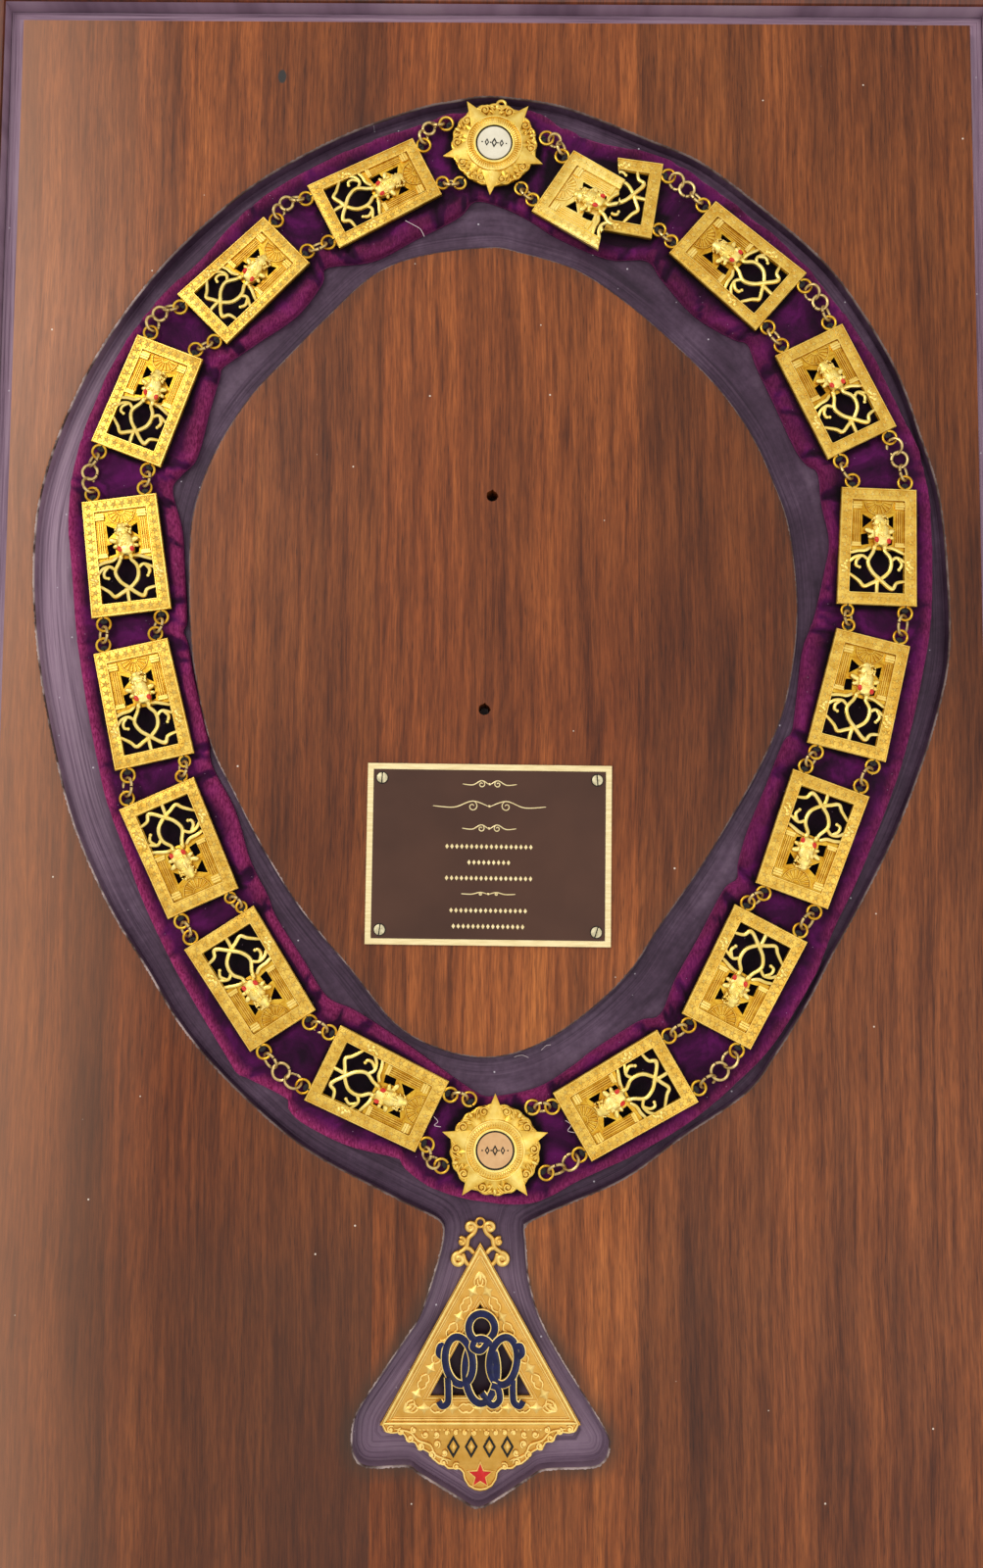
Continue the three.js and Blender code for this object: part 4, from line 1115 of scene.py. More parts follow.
def name_plate_form():
    """Sunk face in a raised border, with ornament where the words would be, and screws."""
    width, height = NAME_SIZE
    inner = rectangle(width - 4.8, height - 4.8)
    base = BOARD_TOP + 0.3
    flat = Form()
    flat.add(*slab(rectangle(width - 0.3, height - 0.3), base, NAME_TOP, [inner], 0.15),
             PLATE_BORDER)
    flat.add(*slab(rectangle(width - 4.4, height - 4.4), base, NAME_TOP - 0.12, soft=0.1),
             PLATE_FACE)
    for y, w, h in PEN_ROWS:
        flat.add_form(retinted(flourish(w, h), PLATE_BORDER), placed(0, y, NAME_TOP - 0.1, 0))
    lozenge = Form().add(*crowned(np.array([(0.72, 0), (0, 1.05), (-0.72, 0), (0, -1.05)]),
                                  (0, 0), 0, 0.12))
    for y, w in LOZENGE_ROWS:
        row = lifted(np.array([(-w / 2, y), (w / 2, y)]), NAME_TOP - 0.12)
        flat.add_form(repeated(row, lozenge, LOZENGE_PITCH, closed=False, finish=PLATE_BORDER))
    for sx, sy, turn in NAME_SCREWS:
        x, y = sx * (width / 2 - SCREW_INSET), sy * (height / 2 - SCREW_INSET)
        flat.add_form(retinted(screw_form(x, y, turn), PLATE_SCREW, {1: PLATE_SCREW_SHADOW}))
    x, y, turn = NAME_CENTRE
    return Form().add_form(flat, placed(x, y, 0, turn))


def retinted(form, finish, special=None):
    """The same form in another finish; `special` keeps some of its finishes apart."""
    special = special or {}
    form.finish = [special.get(f, finish) for f in form.finish]
    return form


# ---------------------------------------------------------------- where the chain joins
def plate_anchor(pose, end, side):
    """An eyelet's place at a plate's head or tail end, and the way it faces."""
    x, y, turn, head, tail, outer = pose
    along = 1 if end == "head" else -1
    width = head if end == "head" else tail
    across = (1 if side == "outer" else -1) * outer * (width / 2 - EYELET_SIDE)
    a = math.radians(turn)
    edge = along * PLATE_LENGTH / 2
    return np.array([x + edge * math.cos(a) - across * math.sin(a),
                     y + edge * math.sin(a) + across * math.cos(a),
                     along * math.cos(a), along * math.sin(a)])


def anchor_of(name, end, side):
    """Where an eyelet stands on a chain body: a point, then the way it faces."""
    if name in MEDALLIONS:
        x, y, _ = MEDALLIONS[name]
        away = np.array(MEDALLION_EYELETS[name][end][side], float)
        away /= np.linalg.norm(away)
        return np.array([x + away[0] * DISC_RADIUS, y + away[1] * DISC_RADIUS, *away])
    halves = {"plate_right_1_head_half": HEAD_HALF, "plate_right_1_antler_half": TAIL_HALF}
    return plate_anchor(halves.get(name) or PLATES[name], end, side)


def eyelet_radius(a, b):
    """The usual radius, or less where two eyelets stand close."""
    gap = np.linalg.norm(b[:2] - a[:2])
    return min(EYELET_RADIUS, (gap - 2 * WIRE - 0.2 - 0.5) / 4)


def eyelet_centre(anchor, radius):
    return anchor[:2] + anchor[2:] * (radius + 0.1)


def bent_run(lengths, chord):
    """Joint points of a run of rings that bends evenly over its chord."""
    def layout(turn):
        heading = turn * (len(lengths) - 1) / 2
        points = [np.zeros(2)]
        for length in lengths:
            points.append(points[-1] + length * np.array([math.cos(heading), math.sin(heading)]))
            heading -= turn
        return points

    low, high = 0.0, math.pi / 2
    for _ in range(40):
        middle = (low + high) / 2
        if np.linalg.norm(layout(middle)[-1]) > chord:
            low = middle
        else:
            high = middle
    return layout((low + high) / 2)


def run_lengths(eyelet, ring, count):
    """Steps from eyelet to ring, from ring to ring, and from ring to eyelet."""
    hook = eyelet + ring - 2 * WIRE - 0.8
    pitch = 2 * ring - 2 * WIRE + 0.25
    return [hook, *[pitch] * (count - 1), hook]


def ring_poses(a, b, count):
    """Centre, turn, tilt and radius of each ring of a run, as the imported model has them."""
    eyelet = eyelet_radius(a, b)
    start, end = eyelet_centre(a, eyelet), eyelet_centre(b, eyelet)
    chord = np.linalg.norm(end - start)
    ring = RING_RADIUS
    while sum(run_lengths(eyelet, ring, count)) < chord:
        ring += 0.05
    while sum(run_lengths(eyelet, ring, count)) > chord * RUN_SLACK and ring > SMALLEST_RING:
        ring -= 0.05
    points = bent_run(run_lengths(eyelet, ring, count), chord)
    if count == 1:
        points[1] = np.array([chord / 2, 0])
    heading = math.atan2(*(end - start)[::-1])
    poses = []
    for i in range(count):
        first, last = i == 0, i == count - 1
        before = points[i + 1] if last and not first else points[i]
        after = points[i + 1] if first else points[i + 2]
        slope = -math.atan2(after[1] - before[1], after[0] - before[0])
        x, y = points[i + 1][0], -points[i + 1][1]
        tilt = 0 if count == 3 and i == 1 else RING_TILT * (1 if first else -1)
        poses.append((start[0] + x * math.cos(heading) - y * math.sin(heading),
                      start[1] + x * math.sin(heading) + y * math.cos(heading),
                      heading + slope, math.radians(tilt), ring))
    return poses


def eyelets():
    """Every eyelet: the chain body that it is soldered to, its anchor and its radius."""
    found = []
    for a, a_end, b, b_end, _ in GAPS:
        for side in ("outer", "inner"):
            ends = anchor_of(a, a_end, side), anchor_of(b, b_end, side)
            radius = eyelet_radius(*ends)
            found += [(a, ends[0], radius), (b, ends[1], radius)]
    return found


# ---------------------------------------------------------------- velvet collar
VELVET_STATIONS = 560
VELVET_ROWS = 28
VELVET_CENTRE = np.array([0.0, 66.0])
ROLLING_WAVES = 9
CLOTH_FRAMES = 20
AIR_PRESSURE = 4.0


def polar(loop, centre, angles):
    """Distance of a star-shaped loop from a centre, at each angle."""
    away = loop - centre
    at = np.unwrap(np.arctan2(away[:, 1], away[:, 0]))
    order = np.argsort(at)
    at, reach = at[order], np.linalg.norm(away, axis=1)[order]
    at = np.concatenate([at - math.tau, at, at + math.tau])
    reach = np.concatenate([reach] * 3)
    return np.interp(angles, at, reach)


def velvet_rails():
    """Matching points along the outer and inner edges of the collar."""
    centre = VELVET_CENTRE
    outer = evenly(smooth_path(VELVET_OUTER, 6), 1.2)
    inner = evenly(smooth_path(VELVET_INNER, 6), 1.2)
    fine = np.linspace(0, math.tau, 1441)[:-1]
    middle = (polar(outer, centre, fine) + polar(inner, centre, fine)) / 2
    line = centre + middle[:, None] * np.column_stack([np.cos(fine), np.sin(fine)])
    even = evenly(line, 1.0)
    pick = np.linspace(0, len(even), VELVET_STATIONS, endpoint=False).astype(int)
    away = even[pick] - centre
    angles = np.arctan2(away[:, 1], away[:, 0])
    ray = np.column_stack([np.cos(angles), np.sin(angles)])
    return (centre + polar(outer, centre, angles)[:, None] * ray,
            centre + polar(inner, centre, angles)[:, None] * ray)


def gap_lines():
    """Middle of each gap of the chain at its outer and inner side, and the gap's width."""
    lines = []
    for a, a_end, b, b_end, _ in GAPS:
        outer = [anchor_of(a, a_end, "outer")[:2], anchor_of(b, b_end, "outer")[:2]]
        inner = [anchor_of(a, a_end, "inner")[:2], anchor_of(b, b_end, "inner")[:2]]
        width = (np.linalg.norm(outer[0] - outer[1]) + np.linalg.norm(inner[0] - inner[1])) / 2
        lines.append((sum(outer) / 2, sum(inner) / 2, width))
    return lines


def eased(x):
    """A smooth step from 0 to 1."""
    x = np.clip(x, 0, 1)
    return x * x * (3 - 2 * x)


def rolling(points, seed, wavelength):
    """Smooth made-up unevenness over the board, about one high."""
    rng = np.random.default_rng(seed)
    total = np.zeros(len(points))
    for _ in range(ROLLING_WAVES):
        angle = rng.uniform(0, math.tau)
        wave = math.tau / (wavelength * rng.uniform(0.6, 1.6))
        total += np.sin(wave * (points[:, 0] * math.cos(angle) + points[:, 1] * math.sin(angle))
                        + rng.uniform(0, math.tau))
    return total / math.sqrt(ROLLING_WAVES)


def crease_depth(points, from_inner, from_outer):
    """How much each point is drawn down by the tucks at the gaps of the chain."""
    depth = np.zeros(len(points))
    rng = np.random.default_rng(11)
    for outer, inner, width in gap_lines():
        away = unit_rows((inner - outer)[None])[0]
        side = np.array([-away[1], away[0]])
        relative = points - (outer + inner) / 2
        along, reach = relative @ side, relative @ away
        near = np.abs(reach) < 45
        for place in (-0.52, 0.5):
            lean = rng.uniform(-0.16, 0.16)
            line = along - place * width - reach * lean
            depth += near * 1.5 * np.exp(-(line / 1.3) ** 2) * (from_inner < 26)
        for _ in range(3):
            at, lean = rng.uniform(-0.9, 0.9) * width, rng.uniform(-0.5, 0.5)
            line = along - at - reach * lean
            depth += (near * 0.9 * np.exp(-(line / 0.9) ** 2)
                      * np.exp(-(from_inner / rng.uniform(6, 14)) ** 2))
        for _ in range(2):
            at, lean = rng.uniform(-0.8, 0.8) * width, rng.uniform(-0.4, 0.4)
            line = along - at - reach * lean
            depth += near * 0.7 * np.exp(-(line / 1.0) ** 2) * np.exp(-(from_outer / 8) ** 2)
    return depth


def plate_cover(points, margin):
    """How fully each point lies under a plate or medallion, from 0 to 1."""
    cover = np.zeros(len(points))
    for x, y, turn, head, tail, _ in [*PLATES.values(), HEAD_HALF, TAIL_HALF]:
        a = math.radians(turn)
        dx, dy = points[:, 0] - x, points[:, 1] - y
        u = np.abs(dx * math.cos(a) + dy * math.sin(a)) - PLATE_LENGTH / 2
        v = np.abs(dy * math.cos(a) - dx * math.sin(a)) - (head + tail) / 4
        cover = np.maximum(cover, 1 - eased(np.maximum(u, v) / margin))
    for x, y, _ in MEDALLIONS.values():
        away = np.hypot(points[:, 0] - x, points[:, 1] - y) - 20
        cover = np.maximum(cover, 1 - eased(away / margin))
    return cover


def velvet_surface():
    """The collar's closed skin: stations round the neck by rows over the top and under."""
    outer, inner = velvet_rails()
    width = np.linalg.norm(outer - inner, axis=1)
    t = np.linspace(0, 1, VELVET_ROWS)
    rows = 0.5 - 0.5 * np.cos(math.pi * t) * (0.75 + 0.25 * np.cos(math.pi * t) ** 2)
    plan = outer[:, None] + rows[None, :, None] * (inner - outer)[:, None]
    flat = plan.reshape(-1, 2)
    from_outer = (rows[None] * width[:, None]).ravel()
    from_inner = ((1 - rows[None]) * width[:, None]).ravel()
    nearest = np.minimum(from_outer, from_inner)
    roll = np.sqrt(1 - (1 - np.clip(nearest / 1.7, 0, 1)) ** 2)
    cover = plate_cover(flat, 3.2)
    rise = (1.5 + 1.9 * (1 - eased((from_outer - 2.2) / 4.0))
            + 2.2 * (1 - eased((from_inner - 3.5) / 6.0)))
    rise += 0.9 * (1 - cover) * eased((nearest - 3) / 4)
    rise = np.minimum(rise, np.where(cover > 0.25, 2.4, 9.0))
    rise += 0.28 * rolling(flat, 5, 24) * (1 - cover)
    rise -= crease_depth(flat, from_inner, from_outer) * (1 - 0.9 * cover)
    top = VELVET_BASE + roll * np.maximum(rise, 0.5)
    n, m = VELVET_STATIONS, VELVET_ROWS
    upper = np.column_stack([flat, top])
    under_rows = np.arange(m - 2, 0, -4)
    under = plan[:, under_rows].reshape(-1, 2)
    lower = np.column_stack([under, np.full(len(under), VELVET_BASE)])
    k = len(under_rows)
    ring = m + k
    points = np.concatenate([upper.reshape(n, m, 3), lower.reshape(n, k, 3)], 1).reshape(-1, 3)
    faces = []
    for i in range(n):
        j = (i + 1) % n
        for r in range(ring):
            s = (r + 1) % ring
            faces.append((i * ring + r, i * ring + s, j * ring + s, j * ring + r))
    pinned = np.zeros((n, ring))
    pinned[:, m:] = 1
    pinned[:, :m] = np.where((cover.reshape(n, m) > 0.3) | (nearest.reshape(n, m) < 0.4), 1, 0)
    # Pale rolled edges and high tops: painted highlight with wear; below zero under the plates
    # and in the tucks: painted shadow.
    velvet_light_and_wear = np.zeros((n, ring))
    edge = 0.66 * np.exp(-(from_outer / 4.2) ** 4) + 0.36 * np.exp(-(from_inner / 6) ** 4)
    edge += 0.5 * np.exp(-(from_inner / 1.3) ** 2) + 0.3 * np.exp(-(from_outer / 1.3) ** 2)
    edge *= 0.45 + 0.55 * eased((230 - flat[:, 1]) / 160)
    ridge = eased((top - VELVET_BASE - 2.9) / 1.2) * 0.22
    shut = plate_cover(flat, 1.6) * eased((nearest - 3) / 3)
    tucked = np.minimum(crease_depth(flat, from_inner, from_outer) * 0.8, 1)
    velvet_light_and_wear[:, :m] = np.clip((edge + ridge) * (1 - shut) - shut - 0.8 * tucked, -1, 1).reshape(n, m)
    form = Form().add(points, faces)
    return form, pinned.ravel(), velvet_light_and_wear.ravel()


def puffed(form, pinned, limit):
    """Cloth simulation: air under the pile swells what no plate holds down, to a limit."""
    scene = bpy.context.scene
    obj = linked("collar in the making", mesh_of(form))
    rest = np.array(form.points)
    obj.data.transform(scale_matrix())
    group = obj.vertex_groups.new(name="held")
    group.add([int(i) for i in np.flatnonzero(pinned > 0.5)], 1.0, "REPLACE")
    cloth = obj.modifiers.new("pile", "CLOTH")
    settings = cloth.settings
    settings.vertex_group_mass = "held"
    settings.use_pressure = True
    settings.uniform_pressure_force = AIR_PRESSURE
    settings.quality = 5
    settings.mass = 0.2
    settings.tension_stiffness = 12
    settings.compression_stiffness = 12
    settings.shrink_min = -0.03
    settings.effector_weights.gravity = 0.0
    cloth.collision_settings.use_collision = False
    cloth.point_cache.frame_start, cloth.point_cache.frame_end = 1, CLOTH_FRAMES
    for number in range(1, CLOTH_FRAMES + 1):
        scene.frame_set(number)
    graph = bpy.context.evaluated_depsgraph_get()
    swollen = obj.evaluated_get(graph).to_mesh()
    moved = np.array([v.co for v in swollen.vertices]) / MM
    bpy.data.objects.remove(obj)
    scene.frame_set(1)
    step = moved - rest
    size = np.linalg.norm(step, axis=1, keepdims=True)
    step *= np.minimum(1, limit / np.maximum(size, 1e-9))
    form.points = [tuple(p) for p in rest + step]
    return form


# ---------------------------------------------------------------- plates
# Openings beside the stag's head, and the one window that the antlers cross.
PLATE_OPENINGS = [
    [(13.8, 6.8), (11.3, 2.1), (7.5, 6.6)],
    [(11.3, -2), (13.5, -6.5), (7.7, -6.5)],
    [(5.2, 7.2), (5.8, 4.1), (1, 3.5), (0.3, 7)],
    [(5.2, -4.5), (5.8, -6.2), (1, -6), (0.3, -3.8)],
    [(-19.2, 11.3), (-19.2, -10.8), (-1.4, -10.8), (-1.3, -2.2), (-1.1, 2.6), (-1.6, 11.3)],
]
# Each antler bar: its line (forward, left, height) and its thickness.
ANTLERS = [
    ([(-0.8, 1.9, 1.9), (-2.6, 2.2, 2.2), (-6.8, 4.3, 2.5), (-11, 2.6, 2.6), (-14, -0.7, 2.5),
      (-17, -4.2, 2.2), (-17.6, -6.2, 2.0), (-15.2, -7.6, 1.8), (-14.2, -11.3, 1.3)], 0.88),
    ([(-0.8, -2.4, 1.9), (-2.2, -2.6, 2.2), (-4.8, -4.6, 2.5), (-7.8, -5.1, 2.6),
      (-11, -4.1, 2.5), (-14, -0.8, 2.1), (-15.4, 2.2, 2.0), (-16.9, 5.5, 2.0),
      (-14.7, 7.6, 1.8), (-11.6, 11.5, 1.3)], 0.88),
    ([(-14.6, 0.1, 1.9), (-17, 0.3, 1.7), (-19.8, 0.2, 1.2)], 0.85),
    ([(-0.3, 3.1, 1.7), (-1.9, 5.4, 2.0), (-2.2, 8.5, 1.9), (-3.1, 11.6, 1.3)], 0.82),
    ([(-6.2, 4.1, 2.4), (-4.3, 6.5, 2.2), (-4.9, 9.6, 1.9), (-6.9, 11.6, 1.3)], 0.76),
    ([(-4.4, 7.0, 2.2), (-6.4, 8.9, 2.3), (-8.4, 8.9, 2.2), (-8.9, 7.7, 2.1)], 0.7),
    ([(-0.4, -3.3, 1.7), (-1.0, -6.2, 2.0), (-2.9, -10.9, 1.3)], 0.82),
    ([(-6.6, -4.9, 2.4), (-4.7, -7.4, 2.2), (-6.4, -11.2, 1.3)], 0.76),
    ([(-4.9, -7.9, 2.2), (-7.3, -9.5, 2.2), (-9.4, -8.7, 2.1)], 0.7),
]
EYE_STONE = 1
ANTLER_KNOBS = [(-9.0, 7.5, 2.1, 0.75), (-9.6, -8.5, 2.1, 0.75), (-14, -0.8, 2.4, 0.95),
                (-17.3, -5.3, 2.0, 0.75), (-16.9, 5.6, 1.9, 0.75)]
# Lumps of the stag's head: centre, radii, turn.
HEAD_LUMPS = [
    ((2.4, -1.2, 2.5), (2.9, 3.3, 1.9), 0), ((6.0, -0.7, 3.0), (3.6, 3.3, 1.8), 4),
    ((9.6, 0, 2.9), (2.7, 2.6, 1.4), 8), ((11.9, 0.4, 2.7), (1.5, 1.7, 1.0), 0),
    ((3.3, 1.1, 3.7), (1.6, 0.8, 0.7), 20), ((3.1, -3.6, 3.6), (1.6, 0.8, 0.7), -20),
    ((5.4, 1.9, 2.3), (2.2, 1.3, 1.1), 0), ((5.2, -3.2, 2.3), (2.2, 1.3, 1.1), 0),
    ((6.4, 4.2, 2.3), (1.1, 1.9, 0.8), -20), ((6.2, -4.9, 2.3), (1.1, 1.8, 0.8), 20),
    ((3.9, 3.2, 2.1), (0.9, 1.4, 0.8), 10), ((3.6, -5.2, 2.1), (0.9, 1.3, 0.8), -10),
    ((-0.7, 1.6, 2.0), (1.4, 1.0, 0.9), 0), ((-0.7, -2.6, 2.0), (1.4, 1.0, 0.9), 0),
    ((0.9, -0.6, 3.6), (1.0, 1.5, 0.7), 0), ((7.6, 0.2, 4.4), (1.9, 0.7, 0.6), 5),
]
EYES = [(2.3, 1.35, 4.05), (1.9, -3.7, 3.85)]
# Mouldings at the ends of the two side columns: place, length, half width, top.
CAPITALS = [(16.2, 0.8, 1.75, 1.9), (17.2, 0.7, 1.95, 2.05), (18.2, 0.8, 1.75, 1.85),
            (1.2, 0.8, 1.8, 1.9), (0.3, 0.7, 2.0, 2.0)]
COLUMNS = (9.0, -8.75)
SUNBURST = (19.2, -0.1)
SUNBURST_LEVEL = 1.25
STAR_PITCH = 3.72
# Inner edge of the moulding that the columns stand in.
COLUMN_EDGE = [(18.9, 10.6), (0.4, 10.6), (0.4, 7.4), (14.6, 7.4), (14.6, -7.1), (0.4, -7.1),
               (0.4, -10.3), (18.9, -10.3)]
BORDER_LUMPS = [(-7.6, 13.2), (-9.3, 12.7), (-8.6, 14.2), (-10.6, 13.6), (-6.4, 12.6),
                (-7.4, -12.9), (-9.2, -12.3), (-8.4, -14), (-10.4, -13.4), (-6.2, -12.5)]


def stag_head():
    """Lumps fused into one skin, then tufts of hair laid over it."""
    lumps = Form()
    for centre, radii, turn in HEAD_LUMPS:
        lumps.add(*blob(centre, radii, turn, rings=10, segments=16))
    head = fused(lumps, 0.2, 2600)
    rng = np.random.default_rng(21)
    for _ in range(70):
        u, v = rng.uniform(3.6, 12.6), rng.uniform(-3.6, 2.8)
        height = 4.5 - 0.035 * (u - 5.5) ** 2 - 0.14 * (v + 0.4) ** 2
        head.add(*blob((u, v, height), (0.75, 0.4, 0.55), rng.uniform(-90, 90), 5, 7))
    return head


def border_path(inset, z, antler_end=0.0):
    """The plate's own rim moved inward, at a height."""
    half, side = PLATE_LENGTH / 2 - inset, NOMINAL_WIDTH / 2 - inset
    back = -half + antler_end
    return lifted(np.array([(half, side), (back, side), (back, -side), (half, -side)]), z)


def column_form(middle):
    """One of the two columns beside the stag's head: three rods between mouldings."""
    form = Form()
    for offset in (-0.86, 0, 0.86):
        rod = lifted(np.array([(1.4, middle + offset), (15.2, middle + offset)]), 1.2)
        form.add(*tube(rod, 0.36, 6, flat=1.2))
    for x, length, reach, top in CAPITALS:
        block = rectangle(length, 2 * reach) + (x, middle)
        form.add(*slab(block, 1.0, top, soft=0.12))
    return form


def sunburst_form():
    """Nine rays between two arcs, above the stag's head."""
    form = Form()
    for k in range(-4, 5):
        ray = [around(*SUNBURST, reach, 180 + k * 20) for reach in (2.0, 5.4)]
        form.add(*tube(lifted(ray, SUNBURST_LEVEL), [0.28, 0.5], 6, flat=0.9))
    for radius, wire in ((1.7, 0.34), (5.9, 0.36)):
        arc = [around(*SUNBURST, radius, a) for a in np.linspace(95, 265, 18)]
        form.add(*tube(lifted(arc, SUNBURST_LEVEL), wire, 6))
    return form


def plate_form():
    """One plate, head end forward, thirty-two wide: the pattern for all of them."""
    form = Form()
    outline = rectangle(PLATE_LENGTH - 0.24, NOMINAL_WIDTH - 0.24)
    form.add(*slab(outline, 0, 1.15, PLATE_OPENINGS, 0.13, 2))
    window = np.array([(19.7, 11.3), (-19.5, 11.5), (-19.5, -11.2), (19.7, -11.2)])
    form.add(*slab(outline, 0.9, 1.62, [window], 0.12, 2))
    bead = circle(0, 0, 0.3, 6)
    form.add(*sweep(evenly(border_path(0.42, 1.62), 1.0), bead, closed=True))
    form.add(*sweep(evenly(lifted(window, 1.62), 1.0), bead * 1.1, closed=True))
    form.add(*sweep(evenly(lifted(COLUMN_EDGE, 1.15), 0.9), bead * 0.75, closed=True))
    star = Form().add(*crowned(star_outline(0, 0, 1.7, 0.66, 0.3), (0, 0), 0, 0.72))
    form.add_form(repeated(border_path(2.5, 1.58, 0.3), star, STAR_PITCH))
    dot = Form().add(*crowned(circle(0, 0, 0.3, 5), (0, 0), 0, 0.26))
    for inset in (1.15, 3.95):
        form.add_form(repeated(border_path(inset, 1.58), dot, STAR_PITCH / 2))
    for middle in COLUMNS:
        form.add_form(column_form(middle))
    form.add_form(sunburst_form())
    for line, wire in ANTLERS:
        path = smooth_path(line, 5, closed=False)
        form.add(*tube(path, tapered(len(path), wire, 0.6), 8))
    for x, y, z, radius in ANTLER_KNOBS:
        form.add(*blob((x, y, z), (radius, radius, radius * 0.8), rings=5, segments=8))
    form.add(*crowned(star_outline(-14.1, -0.4, 2.0, 0.8, 0.2), (-14.1, -0.4), 2.2, 3.1))
    for i, (x, y) in enumerate(BORDER_LUMPS):
        form.add(*blob((x, y, 1.7), (1.1, 0.75, 0.5), 35 * i, rings=5, segments=8))
    form.add_form(stag_head())
    for x, y, z in EYES:
        form.add(*blob((x, y, z), (1.3, 0.95, 0.68), 12, rings=6, segments=10), EYE_STONE)
    return form


def shaped(form, head, tail):
    """A move that narrows the pattern plate to its own widths."""
    def move(points):
        t = np.clip(points[:, 0] / PLATE_LENGTH + 0.5, 0, 1)
        out = points.copy()
        out[:, 1] *= (tail + (head - tail) * t) / NOMINAL_WIDTH
        return out

    return Form().add_form(form, move)


def broken(form, outline):
    """What is left of a plate inside a jagged outline, its broken faces closed."""
    mesh = mesh_of(form)
    bm = bmesh.new()
    bm.from_mesh(mesh)
    edge = [Vector((x, y, 0)) for x, y in outline]
    jag = [(a, b) for a, b in zip(edge, edge[1:] + edge[:1])
           if abs(a.x) < 20 and abs(b.x) < 20]
    for a, b in jag:
        normal = (b - a).cross(Vector((0, 0, 1)))
        bmesh.ops.bisect_plane(bm, geom=[*bm.verts, *bm.edges, *bm.faces], plane_co=a,
                               plane_no=normal)
    shape = [(p.x, p.y) for p in edge]

    def inside(x, y):
        odd = False
        for (ax, ay), (bx, by) in zip(shape, shape[1:] + shape[:1]):
            if (ay > y) != (by > y) and x < (bx - ax) * (y - ay) / (by - ay) + ax:
                odd = not odd
        return odd

    gone = [f for f in bm.faces if not inside(*f.calc_center_median().xy)]
    bmesh.ops.delete(bm, geom=gone, context="FACES")
    open_edges = [e for e in bm.edges if e.is_boundary]
    bmesh.ops.holes_fill(bm, edges=open_edges, sides=0)
    out = Form()
    bm.verts.index_update()
    out.points = [tuple(v.co) for v in bm.verts]
    out.faces = [tuple(v.index for v in f.verts) for f in bm.faces]
    out.finish = [f.material_index for f in bm.faces]
    bm.free()
    return out


def eyelet_forms():
    """Eyelets gathered by the chain body that they stand on."""
    gathered = {}
    for name, anchor, radius in eyelets():
        form = gathered.setdefault(name, Form())
        x, y = eyelet_centre(anchor, radius)
        turn = math.atan2(anchor[3], anchor[2])
        form.add(*hoop((x, y, RING_LEVEL), radius, EYELET_WIRE, turn, sides=24))
    return gathered


# ---------------------------------------------------------------- medallions
# Rim, fluted floor and inner bead of the medallion: radius, height.
COLLAR_PROFILE = [(12.1, 0.9), (12.1, 2.3), (11.9, 2.75), (11.5, 2.8), (11.2, 2.05),
                  (8.8, 2.05), (8.6, 2.9), (8.2, 3.0), (7.8, 2.9), (7.7, 1.9), (6.9, 1.9),
                  (6.9, 0.9)]
DISC_FACE, DISC_MARK = 1, 2
MARK_HEIGHTS = (2.6, 2.82)


def wreath_form(middle):
    """The wreath between two of the star's rays: scrolls, stems, leaves and a boss."""
    form = Form()
    for side in (1, -1):
        x, y = around(0, 0, 15.6, middle + side * 19)
        scroll = spiral(x, y, 2.0, middle + side * 120, -side * 1.35, 24)
        form.add(*tube(lifted(scroll, 1.35), tapered(24, 0.5, 0.6), 6))
        form.add(*blob((x, y, 1.3), (0.7, 0.7, 0.6), rings=5, segments=8))
        stem = smooth_path([(13.4, side * 3), (15.7, side * 8), (17.3, side * 14),
                            (16.9, side * 21)], 5, closed=False)
        arc = np.column_stack([stem[:, 0] * np.cos(np.radians(middle + stem[:, 1])),
                               stem[:, 0] * np.sin(np.radians(middle + stem[:, 1]))])
        form.add(*tube(lifted(arc, 1.25), tapered(len(arc), 0.48), 6))
        for reach, swing in ((14.6, 9), (16.7, 7), (15.2, 28), (16.8, 27)):
            form.add(*blob((*around(0, 0, reach, middle + side * swing), 1.15),
                           (1.3, 0.65, 0.6), middle + side * (swing + 50), 5, 8))
    form.add(*blob((*around(0, 0, 16.7, middle), 1.3), (1.5, 0.9, 0.8), middle, 5, 8))
    return form


